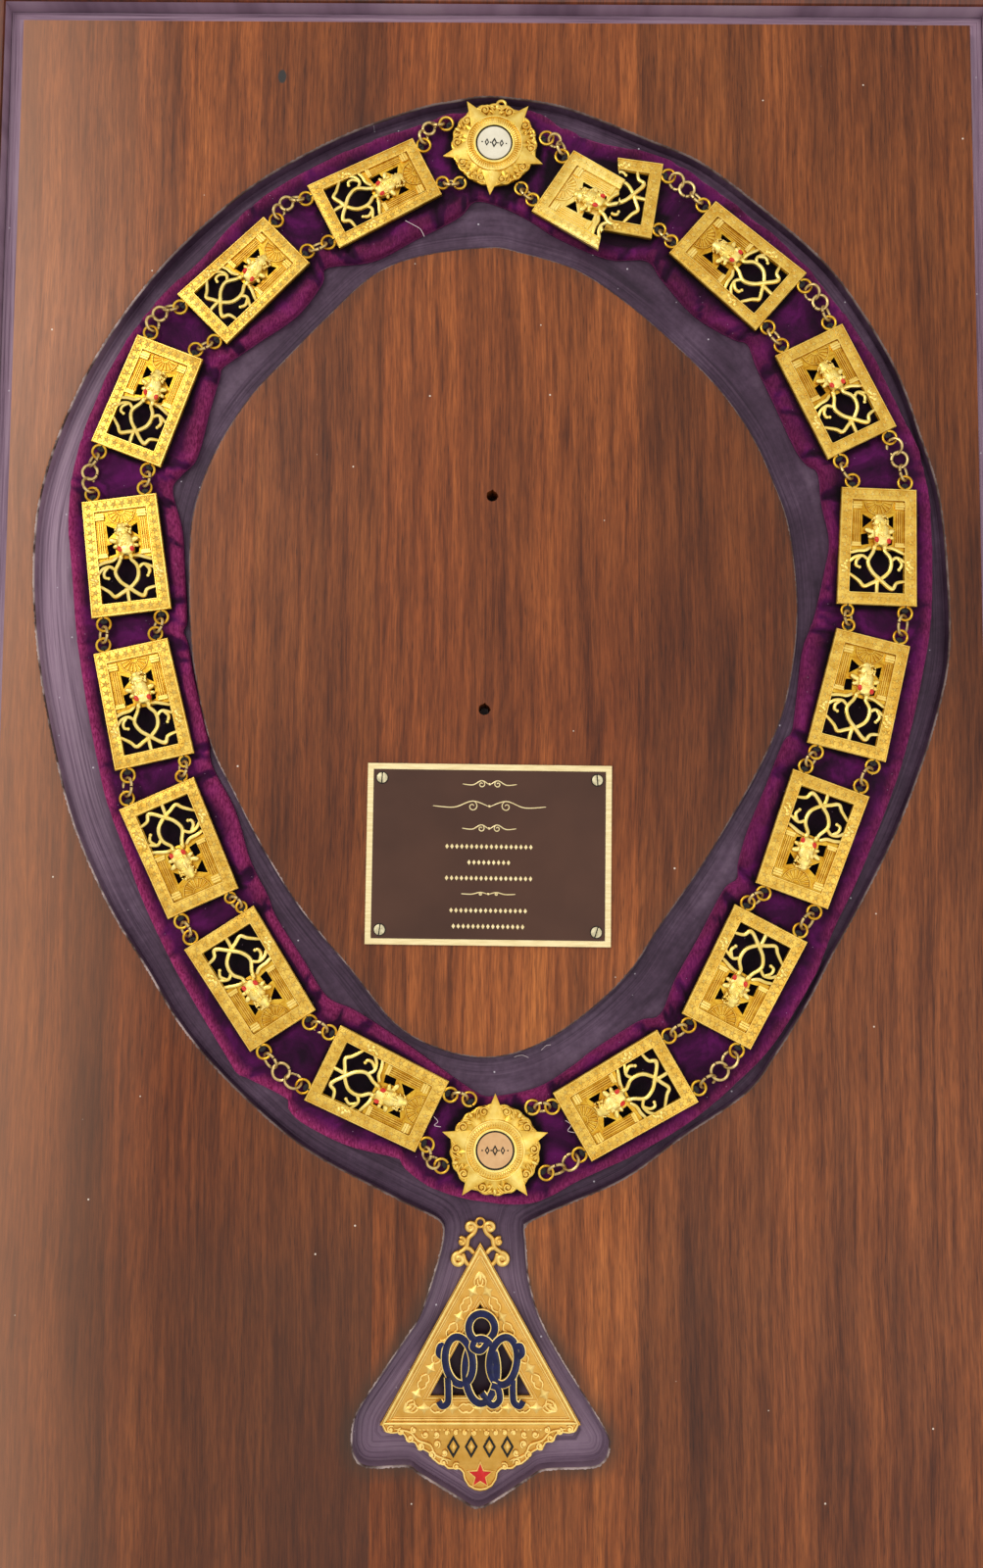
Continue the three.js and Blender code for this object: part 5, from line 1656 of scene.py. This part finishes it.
def medallion_form():
    """Wreath disc, five-rayed star and fluted collar round a plain disc."""
    form = Form()
    form.add(*slab(circle(0, 0, 17.6, 72), 0, 0.9, soft=0.25, steps=2))
    rim = circle(0, 0, 17.4, 120)
    wave = 1 + 0.018 * np.sin(np.arange(120) / 120 * math.tau * 20)
    form.add(*tube(lifted(rim * wave[:, None], 0.95), 0.62, 8, closed=True))
    for k in range(5):
        form.add_form(wreath_form(54 + 72 * k))
    for k in range(5):
        form.add_form(ray_form(22.2, 12.0, 22, 1.5, 2.65, 90 + 72 * k))
        form.add_form(ray_form(16.6, 12.0, 13, 1.35, 2.3, 54 + 72 * k))
        for side in (-1, 1):
            form.add_form(ray_form(15.2, 12.0, 8, 1.3, 2.0, 54 + 72 * k + side * 13))
    form.add_form(turned(COLLAR_PROFILE, 72))
    flute = Form().add(*crowned(rectangle(0.5, 2.1), (0, 0), 0, 0.75))
    form.add_form(repeated(lifted(circle(0, 0, 10, 78), 2.0), flute, 0.98))
    form.add_form(retinted(turned([(7.72, 1.9), (7.72, 2.4), (6.8, 2.4), (6.8, 1.9)], 48),
                           DISC_MARK))
    form.add(*slab(circle(0, 0, 6.95, 48), 1.9, 2.75, soft=0.12, steps=2), DISC_FACE)
    for x, tall, wide in ((0, 2.1, 1.15), (-3.1, 1.6, 0.9), (3.1, 1.6, 0.9)):
        diamond = np.array([(x + wide, 0), (x, tall), (x - wide, 0), (x, -tall)])
        hole = (diamond - (x, 0)) * 0.55 + (x, 0)
        form.add(*slab(diamond, *MARK_HEIGHTS, [hole], 0.05), DISC_MARK)
    for x in (-5.1, -1.55, 1.55, 5.1):
        form.add(*blob((x, 0, 2.74), (0.36, 0.36, 0.12), rings=4, segments=8), DISC_MARK)
    return form


def ray_form(tip, root, half_angle, low, high, turn):
    """One faceted ray of the star, with a ridge down its middle."""
    a = math.radians(half_angle)
    root_x, root_y = root * math.cos(a), root * math.sin(a)
    points = [(tip, 0, low), (root_x, root_y, low), (root - 1, 0, high), (root_x, -root_y, low),
              (tip, 0, 0.6), (root_x, root_y, 0.6), (root - 1, 0, 0.6), (root_x, -root_y, 0.6)]
    faces = [(0, 1, 2), (0, 2, 3), (4, 5, 1, 0), (5, 6, 2, 1), (6, 7, 3, 2), (7, 4, 0, 3),
             (7, 6, 5, 4)]
    return Form().add_form(Form().add(points, faces), placed(0, 0, 0, turn))


def turned(profile, sides):
    """A closed profile (radius, height) spun about the upright."""
    count = len(profile)
    points, faces = [], []
    for i in range(sides):
        a = math.tau * i / sides
        points += [(r * math.cos(a), r * math.sin(a), z) for r, z in profile]
        j = (i + 1) % sides
        for s in range(count):
            t = (s + 1) % count
            faces.append((i * count + s, j * count + s, j * count + t, i * count + t))
    return Form().add(points, faces)


# ---------------------------------------------------------------- jewel
TRIANGLE = np.array([(-39.6, 0), (39.6, 0), (0, 70.3)])
WINDOW = np.array([(-20.3, 11), (20.3, 11), (0, 47.3)])
APRON = [(-39.4, 0.6), (-37.9, -2.5), (-35.6, -3), (-32.9, -2.7), (-30.4, -3.6), (-29.4, -5.6),
         (-28.1, -6.4), (-26.2, -6.6), (-24.9, -9), (-22.8, -9.4), (-20.6, -10.6),
         (-19.2, -12.9), (-16.5, -15.1), (-14.4, -15.5), (-12.8, -16.9), (-10.6, -16.9),
         (-8.2, -17), (-6.7, -18.5), (-6.3, -21), (-4.6, -23.6), (-2.2, -24.9), (0, -25.3)]


def inset_triangle(corners, depth):
    """A counter-clockwise triangle drawn in by a depth, or out by a negative one."""
    edges = np.roll(corners, -1, 0) - corners
    normals = unit_rows(np.column_stack([-edges[:, 1], edges[:, 0]]))
    out = []
    for i in range(3):
        n1, n2 = normals[i - 1], normals[i]
        out.append(corners[i] + (n1 + n2) * depth / (1 + n1 @ n2))
    return np.array(out)


METAL, RED, BLUE, BLACK = range(4)
STRAP_HEIGHT = 0.9


def band(path, wide, closed=True):
    """A metal strap with a raised core of blue enamel between its edges."""
    half = wide / 2
    strap = [(half, 0), (half, 1), (half - 0.28, 1.15), (-half + 0.28, 1.15), (-half, 1),
             (-half, 0)]
    core = [(half - 0.34, 0.5), (half - 0.34, 1.16), (half * 0.4, 1.42), (-half * 0.4, 1.42),
            (-half + 0.34, 1.16), (-half + 0.34, 0.5)]
    form = Form()
    for section, finish in ((strap, METAL), (core, BLUE)):
        shape = np.array(section) * (1, STRAP_HEIGHT)
        form.add(*sweep(path, shape, closed), finish)
    return form


def oval(x, y, wide, tall, turn, z, weave, phase):
    """A closed oval that weaves over and under twice on its way round."""
    a = np.arange(56) / 56 * math.tau
    c, s = math.cos(math.radians(turn)), math.sin(math.radians(turn))
    px, py = wide * np.cos(a), tall * np.sin(a)
    return np.column_stack([x + px * c - py * s, y + px * s + py * c,
                            z + weave * np.sin(2 * a + phase)])


# Knot: each oval's centre, half widths, turn and phase of its weave; then the loose tails.
KNOT_OVALS = [(0.6, 38.2, 5.2, 5.4, 0, 0.4), (-8.4, 25.4, 5.4, 9.2, 8, 1.9),
              (9.2, 25.4, 5.4, 9.2, -8, 3.4), (0.3, 21.6, 6.3, 12.4, 0, 5.0)]
KNOT_TAILS = [
    [(-12.8, 19, 2.4), (-12.6, 13, 2.5), (-12.9, 9.4, 2.4), (-15, 8, 2.3), (-16.4, 9.8, 2.2)],
    [(12.9, 19, 2.4), (12.9, 13, 2.5), (13.4, 9.4, 2.4), (15.6, 8, 2.3), (17, 9.8, 2.2)],
    [(-12.8, 30.5, 2.2), (-15.6, 31.2, 2.2), (-16.4, 28.2, 2.2), (-14.4, 26.6, 2.2)],
    [(13.4, 30.5, 2.2), (15.9, 31, 2.2), (16.6, 28.2, 2.2), (14.9, 26.6, 2.2)],
    [(3.6, 33.6, 2.6), (0.4, 29.6, 2.9), (-2.9, 30.6, 2.8), (-2.3, 33.2, 2.7)],
    [(0.6, 13, 2.4), (4.6, 8.4, 2.5), (7.6, 10.4, 2.5), (7, 14.8, 2.5), (4.4, 16, 2.5)],
]


def knot_form():
    """A strapwork knot: four interlaced ovals and scrolled tails, enamelled blue."""
    form = Form()
    for x, y, wide, tall, turn, phase in KNOT_OVALS:
        form.add_form(band(oval(x, y, wide, tall, turn, 2.3, 0.35, phase), 3.5))
    for tail in KNOT_TAILS:
        form.add_form(band(smooth_path(tail, 7, closed=False), 3.2, closed=False))
    return form


# Crest, right half: scrolls (centre, radius, start, turns, wire) and the stems between them.
CREST_SCROLLS = [(3.9, 76.6, 2.3, 200, -1.2, 1.05), (7.4, 71.0, 1.7, 60, 1.0, 0.9),
                 (8.6, 64.0, 2.9, 100, -1.35, 1.15)]
CREST_STEMS = [[(1.4, 77.4), (2.4, 74.6), (4.8, 72.2), (5.6, 69), (8.2, 66.8), (11.2, 64.6)],
               [(2.6, 66.4), (4.2, 68.2), (6.6, 68.6)],
               [(4.4, 61.6), (6.0, 63.4), (7.0, 66.4)]]


def crest_form():
    """The ring and the mirrored scrollwork at the jewel's head."""
    form = Form()
    form.add(*hoop((0, 78.4, 0.9), 1.75, 0.55))
    for side in (1, -1):
        for x, y, radius, start, turns, wire in CREST_SCROLLS:
            path = spiral(x, y, radius, start, turns, 26) * (side, 1)
            form.add(*tube(lifted(path, 0.9), tapered(26, wire, 0.7), 8))
            form.add(*blob((side * x, y, 1.1), (0.9, 0.9, 0.7), rings=5, segments=8))
        for stem in CREST_STEMS:
            path = smooth_path(stem, 5, closed=False) * (side, 1)
            form.add(*tube(lifted(path, 0.85), tapered(len(path), 1.0, 0.8), 8))
    return form


APRON_SCROLLS = [(-35.6, -1.6, 1.5), (-31.4, -2.4, 1.5), (-27.8, -5.0, 1.7), (-23.6, -8.0, 1.6),
                 (-19.2, -11.2, 1.7), (-14.6, -14.2, 1.7), (-9.6, -15.8, 1.5),
                 (-26.4, -1.8, 1.3), (-21.8, -3.6, 1.4), (-17.4, -3.6, 1.3), (-17.2, -7.2, 1.5),
                 (-13.2, -2.9, 1.0), (-9.6, -2.8, 1.0), (-6, -2.8, 1.0), (-2.4, -2.8, 1.0),
                 (-14.2, -10.6, 1.3)]
APRON_VINE = [(-34, -1.4), (-28, -2.6), (-24.6, -5.8), (-19.8, -7.6), (-17.6, -11.4),
              (-11.6, -13.6)]
DIAMOND_LEVEL = -8.4
STAR_CENTRE = (0, -19.3)
LEAF_PITCH = 12.2


def leaf_form():
    """One leaf of the border vine, with a tendril at each of its four corners."""
    leaf = Form()
    lozenge = np.array([(3.3, 0), (0.9, 1.0), (0, 2.5), (-0.9, 1.0), (-3.3, 0), (-0.9, -1.0),
                        (0, -2.5), (0.9, -1.0)])
    leaf.add(*crowned(lozenge, (0, 0), 0, 0.95))
    for sx, sy in ((1, 1), (-1, -1), (1, -1), (-1, 1)):
        curl = smooth_path([(sx * 2.4, sy * 0.3), (sx * 4.3, sy * 1.7), (sx * 6.3, sy * 1.1)],
                           4, closed=False)
        leaf.add(*tube(lifted(curl, 0.2), tapered(len(curl), 0.5), 6))
    return leaf


def apron_form():
    """The scrolled apron under the triangle, with its four lozenges and its star."""
    form = Form()
    right = [(-x, y) for x, y in reversed(APRON[:-1])]
    edge = np.array([*APRON, *right])
    form.add(*slab(edge, 0, 1.5, soft=0.2, steps=2))
    form.add(*tube(lifted(evenly(edge, 0.9, closed=False) * (0.985, 0.97), 1.55),
                   0.48, 6))
    for side in (1, -1):
        for k, (x, y, radius) in enumerate(APRON_SCROLLS):
            path = spiral(x, y, radius, 40 + 60 * k, 1.2, 18) * (side, 1)
            form.add(*tube(lifted(path, 1.7), tapered(18, 0.48, 0.6), 6))
            form.add(*blob((side * x, y, 1.6), (0.7, 0.7, 0.6), rings=4, segments=8))
        vine = smooth_path(APRON_VINE, 6, closed=False) * (side, 1)
        form.add(*tube(lifted(vine, 1.65), tapered(len(vine), 0.5), 6))
    bead = Form().add(*crowned(circle(0, 0, 0.55, 7), (0, 0), 0, 0.5))
    form.add_form(repeated(lifted(np.array([(-24, -1.9), (24, -1.9)]), 1.45), bead, 1.6,
                           closed=False))
    for x in (-10.7, -3.6, 3.6, 10.7):
        middle = (x, DIAMOND_LEVEL)
        diamond = np.array([(2.5, 0), (0, 4.2), (-2.5, 0), (0, -4.2)])
        form.add(*slab(diamond + middle, 1.4, 1.82, [diamond * 0.68 + middle], 0.06), BLACK)
        form.add(*crowned(diamond * 0.4 + middle, middle, 1.45, 2.0))
    form.add(*slab(star_outline(*STAR_CENTRE, 5.6, 2.5), 0.8, 1.75, soft=0.1))
    form.add(*crowned(star_outline(*STAR_CENTRE, 4.6, 1.95), STAR_CENTRE, 1.7, 2.25), RED)
    return form


def jewel_form():
    """Triangular jewel: bordered plate, leaf vine, knot, scrolled crest and apron."""
    form = Form()
    form.add(*slab(TRIANGLE, 0, 1.6, [WINDOW], 0.2, 2))
    for depth, wire, z in ((0.7, 0.62, 1.75), (2.1, 0.34, 1.65), (2.9, 0.26, 1.6)):
        path = evenly(lifted(inset_triangle(TRIANGLE, depth), z), 1.4)
        form.add(*sweep(path, circle(0, 0, wire, 8), closed=True))
    for depth, wire in ((-0.5, 0.36), (-1.6, 0.26)):
        path = evenly(lifted(inset_triangle(WINDOW, depth), 1.65), 1.4)
        form.add(*sweep(path, circle(0, 0, wire, 6), closed=True))
    leaf = leaf_form()
    centre_line = inset_triangle(TRIANGLE, 6.6)
    for i in range(3):
        a, b = centre_line[i], centre_line[(i + 1) % 3]
        trim = unit_rows((b - a)[None])[0] * 6
        run = lifted(np.array([a + trim, b - trim]), 1.5)
        length = np.linalg.norm(b - a) - 12
        count = max(2, round(length / LEAF_PITCH))
        form.add_form(repeated(run, leaf, length / count * 0.999, closed=False))
    for corner, turn in ((0, 32), (1, 148), (2, 270)):
        x, y = inset_triangle(TRIANGLE, 5.4)[corner]
        for swing in (-38, 0, 38):
            form.add(*blob((*around(x, y, 1.8, turn + swing), 1.6), (2.2, 0.8, 0.5),
                           turn + swing, 5, 8))
    form.add_form(apron_form())
    form.add_form(knot_form())
    form.add_form(crest_form())
    return form


# ---------------------------------------------------------------- ties and lint
def ties_form():
    """Black thread that holds each eyelet down to the velvet."""
    form = Form()
    rng = np.random.default_rng(31)
    for _, anchor, radius in eyelets():
        x, y = eyelet_centre(anchor, radius)
        turn = math.atan2(anchor[3], anchor[2])
        back = np.array([x, y]) - anchor[2:] * (radius * 0.45)
        form.add(*blob((*back, 18.5), (1.2, 1.7, 0.8), math.degrees(turn), 5, 8))
        for _ in range(2):
            swing = turn + rng.uniform(-0.5, 0.5)
            at = np.array([x, y]) - anchor[2:] * radius * rng.uniform(0.55, 0.95)
            form.add(*hoop((*at, 18.9), 0.86, 0.2, swing, math.pi / 2 * 0.9, 14, 5))
    return form


# Pale hairs, each a line of points at its own height above the board's underside.
LINT = [
    [(-38, 235, 19.1), (-34.5, 233, 19.4), (-31.6, 231.2, 19.2), (-30, 228.2, 19)],
    [(-60, 226, 19), (-57.4, 228.4, 19.3), (-54.4, 229.6, 19)],
    [(-22.6, -136.4, 18.2), (-21, -138.2, 18.9), (-22.4, -139.8, 18.6), (-19.8, -140.4, 18.3)],
    [(30.2, -137.6, 18.2), (32.4, -139.2, 18.8), (31.2, -141.6, 18.5), (34, -142.4, 18.2)],
    [(9.6, -113.2, 14.3), (12.6, -112.4, 14.6), (15.4, -113.4, 14.3)],
    [(20.6, -110.4, 14.3), (22.4, -108.6, 14.6), (24.4, -108.2, 14.3)],
]


def lint_form():
    form = Form()
    for line in LINT:
        form.add(*tube(smooth_path(line, 6, closed=False), 0.13, 5))
    return form


# ---------------------------------------------------------------- settings
class StageSettings(bpy.types.PropertyGroup):
    """Light and camera."""

    key_power: FloatProperty(name="Key light", description="Power of the main soft light",
                             default=6.0, min=0.0, unit="POWER")
    fill_power: FloatProperty(name="Fill light", description="Power of the second soft light",
                              default=2.6, min=0.0, unit="POWER")
    sky: FloatProperty(name="Room light", description="Brightness of the room around the object",
                       default=1.05, min=0.0)
    lens: FloatProperty(name="Lens", description="Focal length of the camera in millimetres",
                        default=27.0, min=10.0)


class CollarSettings(bpy.types.PropertyGroup):
    """Sizes of the soft and the small pieces."""

    swell: FloatProperty(name="Velvet swell", description="How far the pile may puff up",
                         default=0.0011, min=0.0, unit="LENGTH")
    wire: FloatProperty(name="Ring wire", description="Thickness radius of a jump ring's wire",
                        default=0.00064, min=0.0001, unit="LENGTH")
    ring_opening: FloatProperty(name="Ring opening", description="Gap where a ring was closed",
                                default=0.12, min=0.0, unit="ROTATION")
    ring_sides: IntProperty(name="Ring steps", description="Steps round each jump ring",
                            default=28, min=8)


# ---------------------------------------------------------------- operators
FLOOR_HALF = 3
CAMERA_AT = Vector((-0.11, -33.5, 498.0))
CAMERA_TOWARD = Vector((-0.3, -2.5, 19.0))
CAMERA_UP = Vector((-0.0061, 1, 0))
PLATE_RELIEF = (PLATE_BASE + 1.2, PLATE_BASE + 2.5)
MEDALLION_RELIEF = (PLATE_BASE + 0.9, PLATE_BASE + 3.0)
JEWEL_RELIEF = (VELVET_BASE + 1.5, VELVET_BASE + 2.1)


class CHAIN_OT_stage(bpy.types.Operator):
    """Floor, soft lights, room light and the camera above the board"""

    bl_idname = "chain.stage"
    bl_label = "Stage"

    def execute(self, context):
        settings = context.scene.chain_stage
        scene = context.scene
        floor = bpy.data.meshes.new("floor")
        corners = lifted(rectangle(2 * FLOOR_HALF, 2 * FLOOR_HALF), 0)
        floor.from_pydata([tuple(corner) for corner in corners], [], [(0, 1, 2, 3)])
        floor.materials.append(finish_named("floor"))
        linked("floor", floor)
        camera = bpy.data.cameras.new("camera")
        camera.lens = settings.lens
        camera.sensor_width = 36
        camera.clip_start = 0.01
        eye = linked("camera", camera)
        here = CAMERA_AT * MM
        back = (here - CAMERA_TOWARD * MM).normalized()
        side = CAMERA_UP.cross(back).normalized()
        up = back.cross(side)
        turn = Matrix((side, up, back)).transposed().to_4x4()
        eye.matrix_world = Matrix.Translation(here) @ turn
        scene.camera = eye
        lights = [("key", (-0.75, 0.6, 1.15), 0.5, settings.key_power, (1, 0.97, 0.93)),
                  ("fill", (0.7, -0.5, 1.3), 0.9, settings.fill_power, (0.93, 0.96, 1))]
        for name, place, size, power, colour in lights:
            lamp = bpy.data.lights.new(name, "AREA")
            lamp.shape = "SQUARE"
            lamp.size = size
            lamp.energy = power
            lamp.color = colour
            obj = linked(name, lamp)
            obj.location = place
            obj.rotation_mode = "QUATERNION"
            obj.rotation_quaternion = Vector(place).to_track_quat("Z", "Y")
        world = bpy.data.worlds.new("room")
        scene.world = world
        world.use_nodes = True
        nodes, links = world.node_tree.nodes, world.node_tree.links
        coords, split = nodes.new("ShaderNodeTexCoord"), nodes.new("ShaderNodeSeparateXYZ")
        ramp = nodes.new("ShaderNodeValToRGB")
        links.new(coords.outputs["Generated"], split.inputs[0])
        links.new(split.outputs["Z"], ramp.inputs["Fac"])
        ramp.color_ramp.elements[0].color = (0.5, 0.49, 0.47, 1)
        ramp.color_ramp.elements[1].color = (1, 1, 1, 1)
        links.new(ramp.outputs["Color"], nodes["Background"].inputs["Color"])
        nodes["Background"].inputs["Strength"].default_value = settings.sky
        scene.view_settings.view_transform = "Standard"
        return {"FINISHED"}


class CHAIN_OT_board(bpy.types.Operator):
    """Veneered board with its painted recess, island and screw holes"""

    bl_idname = "chain.board"
    bl_label = "Board"

    def execute(self, context):
        mesh = board_mesh()
        mesh.transform(scale_matrix())
        mesh.materials.append(finish_named("walnut"))
        mesh.materials.append(finish_named("recess_paint"))
        mesh.shade_smooth()
        mesh.set_sharp_from_angle(angle=math.radians(40))
        board = linked("board_with_recess", mesh)
        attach(board, "root")
        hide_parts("board")
        return {"FINISHED"}


class CHAIN_OT_frame(bpy.types.Operator):
    """Mitred frame round the board"""

    bl_idname = "chain.frame"
    bl_label = "Frame"

    def execute(self, context):
        piece("mitred_frame", frame_form(), ["frame_wood", "recess_paint"], ["frame"])
        return {"FINISHED"}


class CHAIN_OT_name_plate(bpy.types.Operator):
    """Bronzed name plate, left bare of words, on four slotted screws"""

    bl_idname = "chain.name_plate"
    bl_label = "Name plate"

    def execute(self, context):
        piece("name_plate_on_screws", name_plate_form(),
              ["name_plate", "name_border", "screw", "black_enamel_and_shadow"],
              ["name_plate"])
        return {"FINISHED"}


class CHAIN_OT_velvet(bpy.types.Operator):
    """Padded velvet collar, puffed up round the plates"""

    bl_idname = "chain.velvet"
    bl_label = "Velvet collar"

    def execute(self, context):
        form, pinned, velvet_light_and_wear = velvet_surface()
        form = puffed(form, pinned, context.scene.chain_collar.swell / MM)
        collar = piece("velvet_pad", form, ["velvet"], ["velvet_collar"],
                       crease=180)
        store(collar.data, "pile_light_and_wear", velvet_light_and_wear)
        return {"FINISHED"}


class CHAIN_OT_plates(bpy.types.Operator):
    """Fifteen whole pierced plates and the two halves of the snapped one"""

    bl_idname = "chain.plates"
    bl_label = "Plates"

    def execute(self, context):
        pattern = plate_form()
        loops = eyelet_forms()
        for name, (x, y, turn, head, tail, _) in PLATES.items():
            self.finished(name, shaped(pattern, head, tail), x, y, turn, loops)
        self.snapped(pattern, loops)
        return {"FINISHED"}

    def finished(self, name, form, x, y, turn, loops):
        form = Form().add_form(form, placed(x, y, PLATE_BASE, turn)).add_form(loops[name])
        piece(name.replace("plate", "pierced_plate"), form, ["gilt", "eye_stone"],
              [name], PLATE_RELIEF)

    def snapped(self, pattern, loops):
        """The two halves; the head half leans on the other one."""
        a = math.radians(HEAD_HALF_TILT)
        half = PLATE_LENGTH / 2

        def tilted(points):
            x, z = points[:, 0] - half, points[:, 2]
            return np.column_stack([x * math.cos(a) + z * math.sin(a) + half, points[:, 1],
                                    z * math.cos(a) - x * math.sin(a)])

        for name, pose, outline in (
                ("plate_right_1_head_half", HEAD_HALF, HEAD_HALF_BREAK),
                ("plate_right_1_antler_half", TAIL_HALF, TAIL_HALF_BREAK)):
            x, y, turn, head, tail, _ = pose
            kept = broken(shaped(pattern, head, tail), outline)
            if pose is HEAD_HALF:
                kept = Form().add_form(kept, tilted)
            self.finished(name, kept, x, y, turn, loops)


class CHAIN_OT_medallions(bpy.types.Operator):
    """Star medallions at the top and bottom of the chain"""

    bl_idname = "chain.medallions"
    bl_label = "Medallions"

    def execute(self, context):
        pattern = medallion_form()
        loops = eyelet_forms()
        for name, (x, y, turn) in MEDALLIONS.items():
            body = Form().add_form(pattern)
            top = name == "medallion_top"
            if top:
                body.add(*hoop((*MEDALLION_LOOP, 1.1), 1.8, 0.68, sides=24))
            form = Form().add_form(body, placed(x, y, PLATE_BASE, turn)).add_form(loops[name])
            piece(name.replace("medallion", "star_medallion"), form,
                  ["gilt", "cream_enamel" if top else "rose_gilt", "black_enamel_and_shadow"],
                  [name], MEDALLION_RELIEF)
        return {"FINISHED"}


class CHAIN_OT_jewel(bpy.types.Operator):
    """Triangular jewel in its pocket"""

    bl_idname = "chain.jewel"
    bl_label = "Jewel"

    def execute(self, context):
        x, y, turn = JEWEL
        form = Form().add_form(jewel_form(), placed(x, y, VELVET_BASE, turn))
        piece("triangular_jewel", form,
              ["satin_gilt", "red_enamel", "blue_enamel", "black_enamel_and_shadow"], ["jewel"],
              JEWEL_RELIEF)
        return {"FINISHED"}


class CHAIN_OT_rings(bpy.types.Operator):
    """Jump rings that link the chain"""

    bl_idname = "chain.rings"
    bl_label = "Rings"

    def execute(self, context):
        settings = context.scene.chain_collar
        rng = np.random.default_rng(17)
        for number, (a, a_end, b, b_end, count) in enumerate(GAPS, 1):
            for side, rings in (("outer", count), ("inner", 1)):
                ends = anchor_of(a, a_end, side), anchor_of(b, b_end, side)
                form = Form()
                for x, y, turn, tilt, radius in ring_poses(*ends, rings):
                    spin = turn if abs(tilt) > 0.01 else turn + rng.uniform(-1, 1)
                    form.add(*hoop((x, y, RING_LEVEL), radius, settings.wire / MM, spin, tilt,
                                   settings.ring_sides, 8, settings.ring_opening))
                node = f"rings_{number:02d}_{side}"
                piece(f"jump_{node}", form, ["ring_wire"], [node])
        return {"FINISHED"}


class CHAIN_OT_thread(bpy.types.Operator):
    """Black thread ties at the eyelets, and bits of lint"""

    bl_idname = "chain.thread"
    bl_label = "Thread"

    def execute(self, context):
        piece("thread_ties", ties_form(), ["thread"])
        piece("lint", lint_form(), ["lint"])
        return {"FINISHED"}


PIECES = (CHAIN_OT_stage, CHAIN_OT_board, CHAIN_OT_frame, CHAIN_OT_name_plate, CHAIN_OT_velvet,
          CHAIN_OT_plates, CHAIN_OT_medallions, CHAIN_OT_jewel, CHAIN_OT_rings, CHAIN_OT_thread)


class CHAIN_PT_panel(bpy.types.Panel):
    """Lists the pieces and their settings"""

    bl_idname = "CHAIN_PT_panel"
    bl_label = "Chain of office"
    bl_space_type = "VIEW_3D"
    bl_region_type = "UI"
    bl_category = "Chain"

    def draw(self, context):
        column = self.layout.column()
        for operator in PIECES:
            column.operator(operator.bl_idname)
        for group in (context.scene.chain_stage, context.scene.chain_collar):
            box = self.layout.box()
            for name in group.__annotations__:
                box.prop(group, name)


CLASSES = (StageSettings, CollarSettings, *PIECES, CHAIN_PT_panel)


def register():
    for cls in CLASSES:
        bpy.utils.register_class(cls)
    bpy.types.Scene.chain_stage = PointerProperty(type=StageSettings)
    bpy.types.Scene.chain_collar = PointerProperty(type=CollarSettings)


def unregister():
    del bpy.types.Scene.chain_collar
    del bpy.types.Scene.chain_stage
    for cls in reversed(CLASSES):
        bpy.utils.unregister_class(cls)


def main():
    register()
    bpy.ops.chain.stage()
    bpy.ops.chain.board()
    bpy.ops.chain.frame()
    bpy.ops.chain.name_plate()
    bpy.ops.chain.velvet()
    bpy.ops.chain.plates()
    bpy.ops.chain.medallions()
    bpy.ops.chain.jewel()
    bpy.ops.chain.rings()
    bpy.ops.chain.thread()


if __name__ == "__main__":
    main()
